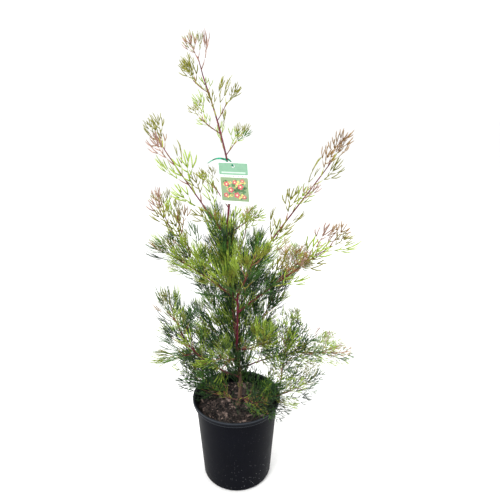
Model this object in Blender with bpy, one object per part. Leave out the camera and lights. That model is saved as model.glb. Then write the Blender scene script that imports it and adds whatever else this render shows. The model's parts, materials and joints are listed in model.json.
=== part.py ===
"""Potted Bon Accord grevillea: one young plant in a 200 mm nursery pot. Metres, +Z up.

The origin is the middle of the pot's flat underside, +X is to the right and +Y is to the back.
The plant is one trunk, a second stem that leaves it low down, boughs that each end where they
enter their foliage, and masses of foliage. A mass is one stem that twigs and divided leaves
grow from by a seeded rule, each mass in its own space.
"""
import random
from collections import namedtuple
from math import cos, exp, pi, radians, sin, sqrt

import bmesh
import bpy
from mathutils import Matrix, Vector
from mathutils.geometry import tessellate_polygon
from mathutils.kdtree import KDTree

# Pot, radii to the outside
POT_HEIGHT = 0.203
RIM_RADIUS = 0.100
RIM_DEPTH = 0.0065
RING_RADIUS = 0.0982
RING_DEPTH = 0.0055
SHOULDER_RADIUS = 0.0925
FOOT_RADIUS = 0.0790
FOOT_ROUND = 0.009
POT_WALL = 0.0018
RIM_ROUND = 0.0015
POT_SIDES = 32
DRAIN_HOLES = 8
DRAIN_RADIUS = 0.0045

# Potting mix
SOIL_LEVEL = 0.178
SOIL_ROUGHNESS = 0.0022
SEAT_RADIUS = 0.012
FIT_GAP = 0.0004

# Trunk: height, sideways, back
TRUNK_STATIONS = (
    (0.178, 0.003, 0.000), (0.235, 0.009, 0.000), (0.334, 0.001, 0.000), (0.450, -0.008, 0.004),
    (0.580, -0.015, 0.002), (0.700, -0.010, 0.000), (0.800, -0.029, -0.001), (0.886, -0.055, -0.004))
TRUNK_TAPER = ((0.178, 0.0043), (0.334, 0.0037), (0.565, 0.0024), (0.780, 0.0016), (0.886, 0.0011))
FLARE = 0.0030
FLARE_HEIGHT = 0.010
FLARE_STEPS = (0.08, 0.20, 0.45)
TRUNK_SIDES = 8
TRUNK_STEPS = 17

# Joints between limbs
JOINT_GAP = 0.0003
CUTTER_SLACK = 0.00007
BOUGH_SIDES = 6
STEM_SIDES = 4
TWIG_SIDES = 3
BOUGH_STEP = 0.028
STEM_STEP = 0.030
TIP_RADIUS = 0.0008

# Leaves and twigs
GOLDEN_ANGLE = 137.5
LEAF_SPACING = 0.0310
LEAF_LENGTH = 0.063
LEAF_SPREAD = 48.0
LEAF_THICKNESS = 0.0009
LEAF_BASE = 0.0018
LEAF_STALK = 0.24
LEAF_WEB = 0.150
LEAF_CURL = 0.16
LOBE_LIFT = 0.07
LEAF_LOBES = ((-46, 0.70), (-17, 0.95), (14, 1.0), (44, 0.72))
TWIG_LENGTH = 0.034
TWIG_RADIUS = 0.0012
UPWARD = 0.30
OWN_SPACE = 0.0028
NEIGHBOURS = 60
LIMB_CLEARANCE = 0.0020
TRIES = 14

# Label and tie
CARD_WIDTH = 0.0605
CARD_HEIGHT = 0.0855
CARD_THICKNESS = 0.0007
CARD_CENTRE = (0.0005, -0.0180, 0.6920)
CARD_YAW = -17.0
CARD_PITCH = 12.0
CARD_CORNER = 0.003
HOLE_DROP = 0.0070
HOLE_RADIUS = 0.0036
TIE_ABOVE_HOLE = 0.0006
TIE_WIDTH = 0.0024
TIE_NECK = 0.0008
TIE_POINTS = 20
TIE_THICKNESS = 0.0009
TIE_HEIGHT = 0.7360
TIE_TAIL = 0.034
TAIL_ARCH = 0.0035
TAIL_DROP = 0.0070
TAIL_FORWARD = 0.004
TAIL_POINTS = 6

Limb = namedtuple("Limb", "name parent at heading swing rise lift length radius bare")

# Headings run from 0 at the right to 90 at the back; angles in degrees, sizes in metres.
# "at" is the height on the trunk or second stem, or the share of the length on another limb.
# "bare" is the share of the limb that is bough; the rest is the stem of its foliage.
SECOND_STEM = Limb("second_stem", "trunk", 0.328, -80, 0, 73, 20, 0.150, 0.0030, 1.0)
LIMBS = (
    Limb("right_high", "second_stem", 0.468, 43, -66, 47.4, 10, 0.358, 0.0023, 0.33),
    Limb("right_mid", "second_stem", 0.418, -24, 9, 44.8, -7, 0.264, 0.0021, 0.45),
    Limb("right_mid_fork", "right_mid", 0.39, -37, -42, 51.0, -20, 0.118, 0.0014, 0.28),
    Limb("left_mid", "second_stem", 0.445, 195, -3, 47, -14.5, 0.179, 0.0018, 0.42),
    Limb("left_upper", "trunk", 0.463, 160, 28, 25.2, 60, 0.210, 0.0019, 0.58),
    Limb("left_upper_fork", "left_upper", 0.53, 170, -27, 35.7, 34, 0.120, 0.0013, 0.30),
    Limb("left_high", "trunk", 0.575, 176, -25, 55.1, -3.8, 0.255, 0.0017, 0.36),
    Limb("left_low", "trunk", 0.250, 207, 43, 31.7, 41.7, 0.300, 0.0024, 0.58),
    Limb("left_low_fork", "left_low", 0.50, 205, 0, 12, -30, 0.044, 0.0014, 0.22),
    Limb("left_small", "trunk", 0.334, 150, 2, 1, 19, 0.120, 0.0014, 0.40),
    Limb("left_foot", "trunk", 0.188, 168, 1, 3.1, 67, 0.136, 0.0014, 0.55),
    Limb("right_foot", "trunk", 0.194, -14, 27, 0, 30, 0.155, 0.0018, 0.66),
    Limb("right_twig", "right_foot", 0.60, 30, -16, 84, -3, 0.165, 0.0012, 0.25),
    Limb("right_back", "trunk", 0.285, 42, -4, 53.7, -5.6, 0.205, 0.0018, 0.50),
    Limb("right_low", "trunk", 0.270, 4, -12, 27.5, -29, 0.208, 0.0019, 0.36),
    Limb("front_foot", "trunk", 0.200, -56, 28, 4, 24.5, 0.086, 0.0015, 0.35),
    Limb("front_right", "trunk", 0.322, -55, -15, 22, 25, 0.150, 0.0016, 0.40),
    Limb("front_left", "trunk", 0.300, -112, 15, 20, 25, 0.145, 0.0016, 0.40),
    Limb("front_high", "second_stem", 0.456, -72, 10, 45, 15, 0.150, 0.0016, 0.36),
    Limb("back_low", "trunk", 0.300, 118, 10, 25, 30, 0.180, 0.0017, 0.42),
    Limb("back_mid", "trunk", 0.360, 75, -15, 35, 20, 0.190, 0.0017, 0.42),
    Limb("back_high", "trunk", 0.430, 104, 10, 40, 20, 0.190, 0.0016, 0.42),
    Limb("back_top", "trunk", 0.490, 60, 15, 44, 4, 0.130, 0.0015, 0.40))

# Foliage that grows on the trunk itself
SHOOTS = (
    Limb("waist_right", "trunk", 0.580, 8, 0, 44, -14, 0.052, 0.0011, 0.0),
    Limb("waist_left", "trunk", 0.640, 172, 0, 55, 5, 0.062, 0.0011, 0.0),
    Limb("collar_right", "trunk", 0.744, 10, 0, 50, 6, 0.032, 0.0010, 0.0),
    Limb("collar_left", "trunk", 0.784, 168, 0, 30, 12, 0.050, 0.0010, 0.0),
    Limb("leader_right", "trunk", 0.808, 12, 0, 55, 12, 0.040, 0.0009, 0.0),
    Limb("leader_left", "trunk", 0.858, 188, 0, 28, 20, 0.036, 0.0008, 0.0))
LEADER_TIP = Limb("leader_tip", "trunk", 0.886, 180, 9, 77, -4, 0.036, 0.0011, 0.0)

# Colours of the finished surfaces
POT_BLACK = (0.012, 0.012, 0.014)
MIX_BROWN = (0.060, 0.038, 0.028)
BARK = (0.190, 0.100, 0.062)
CRIMSON = (0.150, 0.014, 0.028)
GREEN = (0.040, 0.105, 0.022)
DEEP_GREEN = (0.020, 0.070, 0.022)
BRONZE = (0.340, 0.140, 0.070)
CARD_GREEN = (0.300, 0.640, 0.400)
TIE_GREEN = (0.010, 0.520, 0.330)
BRONZE_MASSES = ("left_high", "left_upper_fork", "right_mid_fork", "leader_tip", "right_high")
INNER_MASSES = ("right_back", "back_low", "back_mid", "back_high", "left_small", "front_left",
                "left_foot")


def material(name, colour, roughness):
    """A plain surface with its colour and roughness."""
    result = bpy.data.materials.new(name)
    result.use_nodes = True
    shader = result.node_tree.nodes["Principled BSDF"]
    shader.inputs["Base Color"].default_value = (*colour, 1.0)
    shader.inputs["Roughness"].default_value = roughness
    shader.inputs["Metallic"].default_value = 0.0
    return result


def add_object(name, form, surface=None):
    """Turns a bmesh into an object of the scene."""
    mesh = bpy.data.meshes.new(name)
    form.to_mesh(mesh)
    form.free()
    result = bpy.data.objects.new(name, mesh)
    bpy.context.scene.collection.objects.link(result)
    if surface:
        mesh.materials.append(surface)
    return result


def apply_modifiers(item):
    """Leaves the object with the mesh that its modifiers make, in triangles."""
    depsgraph = bpy.context.evaluated_depsgraph_get()
    mesh = bpy.data.meshes.new_from_object(item.evaluated_get(depsgraph))
    item.modifiers.clear()
    item.data = mesh
    form = bmesh.new()
    form.from_mesh(mesh)
    bmesh.ops.triangulate(form, faces=form.faces)
    form.to_mesh(mesh)
    form.free()


def boolean(item, operation, other=None, group=None):
    """Fuses or cuts an object with another, or with a whole collection, and applies it."""
    change = item.modifiers.new("Boolean", "BOOLEAN")
    change.operation = operation
    if group:
        change.operand_type = "COLLECTION"
        change.collection = group
    else:
        change.object = other
    apply_modifiers(item)


def keep_largest_body(item):
    """Drops loose scraps and the walls of sealed hollows, so one outer body is left."""
    form = bmesh.new()
    form.from_mesh(item.data)
    waiting = set(form.verts)
    bodies = []
    while waiting:
        edge = [waiting.pop()]
        body = list(edge)
        while edge:
            near = {link.other_vert(v) for v in edge for link in v.link_edges} & waiting
            waiting -= near
            edge = list(near)
            body += edge
        bodies.append(body)
    bodies.sort(key=len)
    bmesh.ops.delete(form, geom=[v for body in bodies[:-1] for v in body], context="VERTS")
    form.to_mesh(item.data)
    form.free()


def interpolate(table, height):
    """Value at a height from rows of height and value."""
    for (low, a), (high, b) in zip(table, table[1:]):
        if height <= high:
            return a + (b - a) * (height - low) / (high - low)
    return table[-1][1]


def smooth_point(stations, place):
    """Point of the smooth curve through the stations; place counts stations from 0."""
    last = len(stations) - 1
    index = min(int(place), last - 1)
    t = place - index
    a, b, c, d = (Vector(stations[min(max(index + k, 0), last)]) for k in (-1, 0, 1, 2))
    return 0.5 * (2 * b + (c - a) * t + (2 * a - 5 * b + 4 * c - d) * t ** 2
                  + (3 * b - a - 3 * c + d) * t ** 3)


def trunk_path():
    """Centre line of the trunk from the soil to the leader's tip."""
    stations = [(x, y, z) for z, x, y in TRUNK_STATIONS]
    last = len(stations) - 1
    return [smooth_point(stations, last * i / TRUNK_STEPS) for i in range(TRUNK_STEPS + 1)]


def bent_path(start, limb, step):
    """Centre line of a limb whose heading and rise turn evenly along its length."""
    steps = max(3, round(limb.length / step))
    points = [Vector(start)]
    for i in range(steps):
        share = (i + 0.5) / steps
        heading = radians(limb.heading + limb.swing * share)
        rise = radians(limb.rise + limb.lift * share)
        way = Vector((cos(rise) * cos(heading), cos(rise) * sin(heading), sin(rise)))
        points.append(points[-1] + way * limb.length / steps)
    return points


def length_of(path):
    """Length of a path."""
    return sum((b - a).length for a, b in zip(path, path[1:]))


def point_along(path, distance):
    """Point at a distance along a path, and the path's direction there."""
    for a, b in zip(path, path[1:]):
        span = (b - a).length
        if distance <= span or b is path[-1]:
            return a + (b - a) * distance / span, (b - a).normalized()
        distance -= span


def height_to_distance(path, height):
    """Distance along a rising path at which it reaches a height."""
    distance = 0.0
    for a, b in zip(path, path[1:]):
        if b.z >= height:
            return distance + (b - a).length * (height - a.z) / (b.z - a.z)
        distance += (b - a).length
    return distance


def cross_frame(way):
    """Two directions square to a limb's own, the first as level as can be."""
    side = way.cross(Vector((0, 0, 1)))
    if side.length < 0.05:
        side = way.cross(Vector((0, 1, 0)))
    side.normalize()
    return side, side.cross(way).normalized()


def tube(form, path, radii, sides, grow=0.0):
    """Tapering limb with closed flat ends, added to a bmesh."""
    rings = []
    side = None
    for i, centre in enumerate(path):
        way = (path[min(i + 1, len(path) - 1)] - path[max(i - 1, 0)]).normalized()
        if side is None:
            side, up = cross_frame(way)
        side = (side - way * side.dot(way)).normalized()
        up = side.cross(way)
        radius = radii[i] + grow
        turns = [2 * pi * k / sides for k in range(sides)]
        rings.append([form.verts.new(centre + radius * (cos(t) * side + sin(t) * up)) for t in turns])
    for low, high in zip(rings, rings[1:]):
        for k in range(sides):
            after = (k + 1) % sides
            form.faces.new((low[k], high[k], high[after], low[after]))
    form.faces.new(rings[0])
    form.faces.new(rings[-1][::-1])


def limb_object(name, path, radii, sides, surface, grow=0.0):
    """A limb as an object, smooth along its sides; a cutter has no surface."""
    form = bmesh.new()
    tube(form, path, radii, sides, grow)
    bmesh.ops.recalc_face_normals(form, faces=form.faces)
    result = add_object(name, form, surface)
    if surface:
        result.data.shade_smooth()
        result.data.set_sharp_from_angle(angle=radians(50))
    return result


def cut_at_parent(item, parent_path, parent_radii, sides):
    """Ends a limb a hair clear of the limb that it grows from."""
    grow = (JOINT_GAP + CUTTER_SLACK) / cos(pi / sides)
    cutter = limb_object("cutter", parent_path, parent_radii, sides, None, grow)
    boolean(item, "DIFFERENCE", cutter)
    bpy.data.objects.remove(cutter)
    keep_largest_body(item)


def pot_profile():
    """Outer side from the rim down to the foot, then the inside back up, as (radius, height)."""
    ring_top = POT_HEIGHT - RIM_DEPTH
    shoulder = ring_top - RING_DEPTH
    outer = [(RIM_RADIUS - RIM_ROUND, POT_HEIGHT), (RIM_RADIUS, POT_HEIGHT - RIM_ROUND),
             (RIM_RADIUS, ring_top + RIM_ROUND), (RING_RADIUS, ring_top),
             (RING_RADIUS, shoulder + RIM_ROUND), (SHOULDER_RADIUS, shoulder)]
    for turn in (0, 30, 60, 90):
        outer.append((FOOT_RADIUS - FOOT_ROUND * (1 - cos(radians(turn))),
                      FOOT_ROUND * (1 - sin(radians(turn)))))
    inner = [(FOOT_RADIUS - FOOT_ROUND - POT_WALL, POT_WALL),
             (FOOT_RADIUS - POT_WALL, FOOT_ROUND),
             (SHOULDER_RADIUS - POT_WALL, shoulder),
             (RIM_RADIUS - 2 * POT_WALL, POT_HEIGHT)]
    return outer, inner


def turned(name, profile, sides, surface):
    """Round body from a profile that starts and ends on the axis."""
    form = bmesh.new()
    rings = []
    for radius, height in profile:
        if radius < 1e-6:
            rings.append([form.verts.new((0, 0, height))] * sides)
            continue
        turns = [2 * pi * (k + 0.5) / sides for k in range(sides)]
        rings.append([form.verts.new((radius * cos(t), radius * sin(t), height)) for t in turns])
    for low, high in zip(rings, rings[1:]):
        for k in range(sides):
            after = (k + 1) % sides
            corners = [low[k], low[after], high[after], high[k]]
            form.faces.new(list(dict.fromkeys(corners)))
    bmesh.ops.recalc_face_normals(form, faces=form.faces)
    result = add_object(name, form, surface)
    result.data.shade_smooth()
    result.data.set_sharp_from_angle(angle=radians(40))
    return result


def make_pot(surface):
    """Black nursery pot: rolled rim, ring under it, rounded foot with drain holes."""
    outer, inner = pot_profile()
    pot = turned("pot", [(0, 0)] + outer[::-1] + inner[::-1] + [(0, POT_WALL)], POT_SIDES, surface)
    drains = bmesh.new()
    reach = FOOT_RADIUS - FOOT_ROUND * 0.55
    for i in range(DRAIN_HOLES):
        turn = 2 * pi * (i + 0.5) / DRAIN_HOLES - pi / 2
        place = Matrix.Translation((reach * cos(turn), reach * sin(turn), FOOT_ROUND * 0.30))
        lean = Matrix.Rotation(turn, 4, "Z") @ Matrix.Rotation(radians(125), 4, "Y")
        bmesh.ops.create_cone(drains, cap_ends=True, segments=8, radius1=DRAIN_RADIUS,
                              radius2=DRAIN_RADIUS, depth=FOOT_ROUND * 1.6, matrix=place @ lean)
    cutter = add_object("drains", drains)
    boolean(pot, "DIFFERENCE", cutter)
    bpy.data.objects.remove(cutter)
    return pot


def make_potting_mix(surface, rng):
    """Bark mix that fills the pot, its top rough but level where the trunk stands."""
    inner = pot_profile()[1]
    wall = [(inner[1][0] - FIT_GAP, inner[1][1]), (inner[0][0] - FIT_GAP, inner[0][1] + FIT_GAP)]
    share = (SOIL_LEVEL - inner[1][1]) / (inner[2][1] - inner[1][1])
    edge = inner[1][0] + share * (inner[2][0] - inner[1][0]) - FIT_GAP
    rings = [(edge * share, SOIL_LEVEL) for share in (1.0, 0.78, 0.54, 0.32)]
    seat = [(SEAT_RADIUS, SOIL_LEVEL), (0, SOIL_LEVEL)]
    floor = [(0, wall[1][1])]
    profile = (floor + wall[::-1] + rings + seat)
    mix = turned("potting_mix", profile, POT_SIDES, surface)
    for vertex in mix.data.vertices:
        away = sqrt(vertex.co.x ** 2 + vertex.co.y ** 2)
        if vertex.co.z > SOIL_LEVEL - 1e-4 and SEAT_RADIUS * 1.2 < away < edge * 0.95:
            vertex.co.z += rng.uniform(-1, 1) * SOIL_ROUGHNESS
            vertex.co.x += rng.uniform(-1, 1) * SOIL_ROUGHNESS
            vertex.co.y += rng.uniform(-1, 1) * SOIL_ROUGHNESS
    return mix


def trunk_radii(path):
    """Taper of the trunk with the flare at its foot."""
    return [interpolate(TRUNK_TAPER, p.z) + FLARE * exp(-(p.z - SOIL_LEVEL) / FLARE_HEIGHT)
            for p in path]


def grow_limbs():
    """Centre lines and radii of every limb, from the trunk outwards."""
    path = trunk_path()
    foot = [path[0].lerp(path[1], share) for share in FLARE_STEPS]
    path[0].z += JOINT_GAP
    path = path[:1] + foot + path[1:]
    grown = {"trunk": (path, trunk_radii(path), TRUNK_SIDES)}
    for limb in (SECOND_STEM,) + LIMBS + SHOOTS + (LEADER_TIP,):
        parent = grown[limb.parent][0]
        if limb.parent in ("trunk", "second_stem"):
            distance = height_to_distance(parent, limb.at)
        else:
            distance = length_of(parent) * limb.at
        line = bent_path(point_along(parent, distance)[0], limb, BOUGH_STEP)
        shares = [i / (len(line) - 1) for i in range(len(line))]
        tip = limb.radius * 0.85 if limb is SECOND_STEM else TIP_RADIUS
        radii = [limb.radius + (tip - limb.radius) * share for share in shares]
        grown[limb.name] = (line, radii, BOUGH_SIDES)
    return grown


def part_of(path, radii, start, end):
    """Stretch of a limb between two distances, with the radii that belong to it."""
    total = length_of(path)
    steps = max(2, round((end - start) / STEM_STEP))
    places = [start + (end - start) * i / steps for i in range(steps + 1)]
    points = [point_along(path, place)[0] for place in places]
    return points, [radii[0] + (radii[-1] - radii[0]) * place / total for place in places]


class Spaces:
    """Which mass each place belongs to, and what no leaf may touch."""

    def __init__(self, stems, limbs, tie_path, card_matrix):
        mine = [(point, name) for name, line in stems.items() for point in self.samples(line)]
        self.owner = [name for point, name in mine]
        self.own = KDTree(len(mine))
        for index, (point, name) in enumerate(mine):
            self.own.insert(point, index)
        self.own.balance()
        wood = [sample for line, radii in limbs for sample in self.thick_samples(line, radii)]
        self.wood_radius = [radius for point, radius in wood]
        self.wood = KDTree(len(wood))
        for index, (point, radius) in enumerate(wood):
            self.wood.insert(point, index)
        self.wood.balance()
        self.tie_path = tie_path
        self.into_card = card_matrix.inverted()

    @staticmethod
    def samples(line, spacing=0.003):
        """Points along a line."""
        total = length_of(line)
        count = max(2, int(total / spacing))
        return [point_along(line, total * i / count)[0] for i in range(count + 1)]

    @staticmethod
    def thick_samples(line, radii, spacing=0.003):
        """Points along a limb, each with the limb's radius there."""
        total = length_of(line)
        count = max(2, int(total / spacing))
        for i in range(count + 1):
            place = i / count * (len(radii) - 1)
            low = min(int(place), len(radii) - 2)
            radius = radii[low] + (radii[low + 1] - radii[low]) * (place - low)
            yield point_along(line, total * i / count)[0], radius

    def free(self, name, points):
        """True where every point lies in the mass's own space and clear of all else."""
        for point in points:
            if self.in_pot(point) or self.at_label(point):
                return False
            place, index, distance = self.wood.find(point)
            if distance < self.wood_radius[index] + LIMB_CLEARANCE:
                return False
            nearest = {}
            for place, index, distance in self.own.find_n(point, NEIGHBOURS):
                nearest.setdefault(self.owner[index], distance)
            mine = nearest.pop(name, 1.0)
            if nearest and min(nearest.values()) < mine + OWN_SPACE:
                return False
        return True

    @staticmethod
    def in_pot(point):
        """True near the pot's wall and near the mix."""
        away = sqrt(point.x ** 2 + point.y ** 2)
        if point.z > POT_HEIGHT + 0.004 or away > RIM_RADIUS + 0.004:
            return False
        return away > SHOULDER_RADIUS - 0.007 or point.z < SOIL_LEVEL + 0.005

    def at_label(self, point):
        """True near the card and the tie."""
        local = self.into_card @ point
        if (abs(local.x) < CARD_WIDTH / 2 + 0.004 and abs(local.z) < CARD_HEIGHT / 2 + 0.004
                and abs(local.y) < 0.004):
            return True
        return any((point - place).length < 0.005 for place in self.tie_path)


def leaf_outline():
    """Flat outline of a divided leaf, base at 0 and tip at 1, and its triangles."""
    half = LEAF_BASE / LEAF_LENGTH / 2
    fan = 1 - LEAF_STALK
    points = [(-0.02, half), (LEAF_STALK, half * 1.3)]
    for i, (angle, reach) in enumerate(LEAF_LOBES[::-1]):
        turn = radians(angle)
        points.append((LEAF_STALK + fan * reach * cos(turn), fan * reach * sin(turn)))
        if i < len(LEAF_LOBES) - 1:
            middle = radians((angle + LEAF_LOBES[::-1][i + 1][0]) / 2)
            points.append((LEAF_STALK + LEAF_WEB * cos(middle), LEAF_WEB * sin(middle)))
    points += [(LEAF_STALK, -half * 1.3), (-0.02, -half)]
    flat = [Vector((x, y, 0)) for x, y in points]
    return points, tessellate_polygon([flat])


OUTLINE, OUTLINE_TRIANGLES = leaf_outline()


def leaf_places(root, way, roll, length, rng):
    """Places of a leaf's outline in space: curved up and its lobes a little out of plane."""
    side, up = cross_frame(way)
    turn = Matrix.Rotation(roll, 3, way)
    side = turn @ side
    up = turn @ up
    places = []
    for x, y in OUTLINE:
        lift = LEAF_CURL * x * x
        if x > LEAF_STALK + LEAF_WEB * 1.2:
            lift += rng.uniform(-LOBE_LIFT, LOBE_LIFT)
        places.append(root + length * (x * way + y * side + lift * up))
    return places, up


def leaf_form(form, places, up):
    """Solid blade: the outline above and below, and its edge."""
    half = up * LEAF_THICKNESS / 2
    top = [form.verts.new(place + half) for place in places]
    bottom = [form.verts.new(place - half) for place in places]
    for a, b, c in OUTLINE_TRIANGLES:
        form.faces.new((top[a], top[b], top[c]))
        form.faces.new((bottom[c], bottom[b], bottom[a]))
    count = len(places)
    for i in range(count):
        after = (i + 1) % count
        form.faces.new((top[i], bottom[i], bottom[after], top[after]))


def leaf_checks(places):
    """Points along each lobe that are tested against the neighbours."""
    hub = places[1].lerp(places[-2], 0.5)
    tips = [place for i, place in enumerate(places[2:-2]) if i % 2 == 0]
    return [hub.lerp(tip, share) for tip in tips for share in (0.3, 0.55, 0.8, 1.0)]


def outward(way, turn, spread, rng):
    """Direction of a leaf or twig that leaves a stem at a turn round it, bent upward."""
    side, up = cross_frame(way)
    angle = radians(spread + rng.uniform(-9, 9))
    out = cos(turn) * side + sin(turn) * up
    return (way * cos(angle) + out * sin(angle) + Vector((0, 0, UPWARD))).normalized()


def add_leaf(parts, spaces, name, root, way, turn, spread, size, rng):
    """One leaf where it fits; False where no turn of it keeps to the mass's space."""
    for attempt in range(TRIES):
        aim = outward(way, turn + rng.uniform(-0.5, 0.5) * attempt * 0.3, spread, rng)
        length = size * LEAF_LENGTH * rng.uniform(0.85, 1.15) * (1 - 0.03 * attempt)
        places, up = leaf_places(root, aim, rng.uniform(-1.2, 1.2), length, rng)
        if spaces.free(name, leaf_checks(places)):
            form = bmesh.new()
            leaf_form(form, places, up)
            bmesh.ops.recalc_face_normals(form, faces=form.faces)
            parts.append(form)
            return True
    return False


def add_twig(parts, spaces, name, root, way, turn, size, rng):
    """One side twig with a leaf at its tip and one on its way, where they fit."""
    for attempt in range(TRIES):
        aim = outward(way, turn + rng.uniform(-0.4, 0.4) * attempt * 0.3, LEAF_SPREAD, rng)
        length = size * TWIG_LENGTH * rng.uniform(0.8, 1.2)
        middle = root + aim * length * 0.5
        tip = middle + (aim + Vector((0, 0, UPWARD * 0.6))).normalized() * length * 0.5
        if not spaces.free(name, [root.lerp(middle, 0.6), middle, middle.lerp(tip, 0.5), tip]):
            continue
        form = bmesh.new()
        radii = [TWIG_RADIUS * share for share in (1.0, 0.85, 0.7)]
        tube(form, [root, middle, tip], radii, TWIG_SIDES)
        bmesh.ops.recalc_face_normals(form, faces=form.faces)
        parts.append(form)
        end = (tip - middle).normalized()
        add_leaf(parts, spaces, name, tip - end * 0.003, end, turn, 8, size * 0.9, rng)
        add_leaf(parts, spaces, name, middle, aim, turn + pi / 2, LEAF_SPREAD, size * 0.8, rng)
        return


def grow_mass(limb, path, radii, spaces, cut, surface, rng):
    """One mass of foliage: its stem with twigs and leaves fused on."""
    stem = limb_object("foliage_" + limb.name, path, radii, STEM_SIDES, surface)
    total = length_of(path)
    count = max(3, round(total / LEAF_SPACING))
    parts = []
    first_turn = rng.uniform(0, 2 * pi)
    for i in range(count):
        place = total * (i + 0.7) / (count + 0.4)
        if limb.bare == 0 and place < 0.010:
            continue
        root, way = point_along(path, place)
        turn = first_turn + radians(GOLDEN_ANGLE) * i
        size = 1.05 - 0.35 * place / total
        if i % 3 == 1 and place < total * 0.8:
            add_twig(parts, spaces, limb.name, root, way, turn, size, rng)
        else:
            add_leaf(parts, spaces, limb.name, root, way, turn, LEAF_SPREAD, size, rng)
    end, way = point_along(path, total)
    add_leaf(parts, spaces, limb.name, end - way * 0.004, way, first_turn, 4, 0.8, rng)
    group = bpy.data.collections.new("parts")
    bpy.context.scene.collection.children.link(group)
    for form in parts:
        piece = add_object("piece", form)
        bpy.context.scene.collection.objects.unlink(piece)
        group.objects.link(piece)
    boolean(stem, "UNION", group=group)
    for piece in list(group.objects):
        bpy.data.objects.remove(piece)
    bpy.data.collections.remove(group)
    keep_largest_body(stem)
    if cut:
        cut_at_parent(stem, *cut)
    return stem


def card_matrix():
    """Place of the card: its foot leans back to the leader and its right side is nearer."""
    return (Matrix.Translation(CARD_CENTRE) @ Matrix.Rotation(radians(CARD_YAW), 4, "Z")
            @ Matrix.Rotation(radians(CARD_PITCH), 4, "X"))


def make_card(surface):
    """Plant label: a thin card with round corners and the hole that the tie goes through."""
    form = bmesh.new()
    outline = []
    for sx, sz, first in ((1, 1, 0), (-1, 1, 90), (-1, -1, 180), (1, -1, 270)):
        for turn in (0, 45, 90):
            angle = radians(first + turn)
            outline.append((sx * (CARD_WIDTH / 2 - CARD_CORNER) + CARD_CORNER * cos(angle),
                            sz * (CARD_HEIGHT / 2 - CARD_CORNER) + CARD_CORNER * sin(angle)))
    face = form.faces.new([form.verts.new((x, -CARD_THICKNESS / 2, z)) for x, z in outline])
    grown = bmesh.ops.extrude_face_region(form, geom=[face])
    moved = [v for v in grown["geom"] if isinstance(v, bmesh.types.BMVert)]
    bmesh.ops.translate(form, verts=moved, vec=(0, CARD_THICKNESS, 0))
    bmesh.ops.recalc_face_normals(form, faces=form.faces)
    form.transform(card_matrix())
    card = add_object("plant_label", form, surface)
    hole = bmesh.new()
    place = card_matrix() @ Matrix.Translation((0, 0, CARD_HEIGHT / 2 - HOLE_DROP))
    bmesh.ops.create_cone(hole, cap_ends=True, segments=16, radius1=HOLE_RADIUS, radius2=HOLE_RADIUS,
                          depth=0.01, matrix=place @ Matrix.Rotation(pi / 2, 4, "X"))
    cutter = add_object("hole", hole)
    boolean(card, "DIFFERENCE", cutter)
    bpy.data.objects.remove(cutter)
    return card


def tie_lines(trunk):
    """Loop of the tie round the leader and through the card's hole, and its free tail."""
    leader, way = point_along(trunk, height_to_distance(trunk, TIE_HEIGHT))
    hole = card_matrix() @ Vector((0, 0, CARD_HEIGHT / 2 - HOLE_DROP + TIE_ABOVE_HOLE))
    room = interpolate(TRUNK_TAPER, TIE_HEIGHT) + TIE_THICKNESS / 2 + JOINT_GAP + CUTTER_SLACK * 3
    middle = leader.lerp(hole, 0.5)
    reach = (leader - hole).length / 2 + room
    along = (hole - leader).normalized()
    across = along.cross(Vector((0, 0, 1))).normalized()
    loop = []
    for k in range(TIE_POINTS):
        turn = 2 * pi * k / TIE_POINTS
        width = TIE_NECK + (room * 2.2 - TIE_NECK) * (1 - cos(turn)) / 2
        loop.append(middle + along * (cos(turn) * reach) + across * (sin(turn) * width))
    start = min(loop, key=lambda p: p.x)
    tail = []
    for k in range(TAIL_POINTS):
        share = k / (TAIL_POINTS - 1)
        rise = TAIL_ARCH * sin(pi * share) - TAIL_DROP * share ** 2
        tail.append(start + Vector((-TIE_TAIL * share, -TAIL_FORWARD * share, rise)))
    return loop, tail


def strap(name, line, closed, surface=None):
    """Flat strap along a line, its width upright."""
    form = bmesh.new()
    rings = []
    count = len(line)
    for i, centre in enumerate(line):
        before = line[(i - 1) % count] if closed else line[max(i - 1, 0)]
        after = line[(i + 1) % count] if closed else line[min(i + 1, count - 1)]
        way = (after - before).normalized()
        across = way.cross(Vector((0, 0, 1))).normalized() * TIE_THICKNESS / 2
        high = across.cross(way).normalized() * TIE_WIDTH / 2
        rings.append([form.verts.new(centre + a * across + b * high)
                      for a, b in ((1, 1), (1, -1), (-1, -1), (-1, 1))])
    pairs = list(zip(rings, rings[1:] + rings[:1])) if closed else list(zip(rings, rings[1:]))
    for low, high in pairs:
        for k in range(4):
            form.faces.new((low[k], high[k], high[(k + 1) % 4], low[(k + 1) % 4]))
    if not closed:
        form.faces.new(rings[0])
        form.faces.new(rings[-1][::-1])
    bmesh.ops.recalc_face_normals(form, faces=form.faces)
    return add_object(name, form, surface)


def make_tie(lines, surface):
    """The tie: its loop with the free tail fused on."""
    loop, tail = lines
    tie = strap("label_tie", loop, True, surface)
    end = strap("tail", tail, False)
    boolean(tie, "UNION", end)
    bpy.data.objects.remove(end)
    keep_largest_body(tie)
    return tie


def foliage_surface(surfaces, name):
    """The leaf colour of a mass."""
    if name in BRONZE_MASSES:
        return surfaces["bronze"]
    if name in INNER_MASSES:
        return surfaces["deep"]
    return surfaces["green"]


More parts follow.
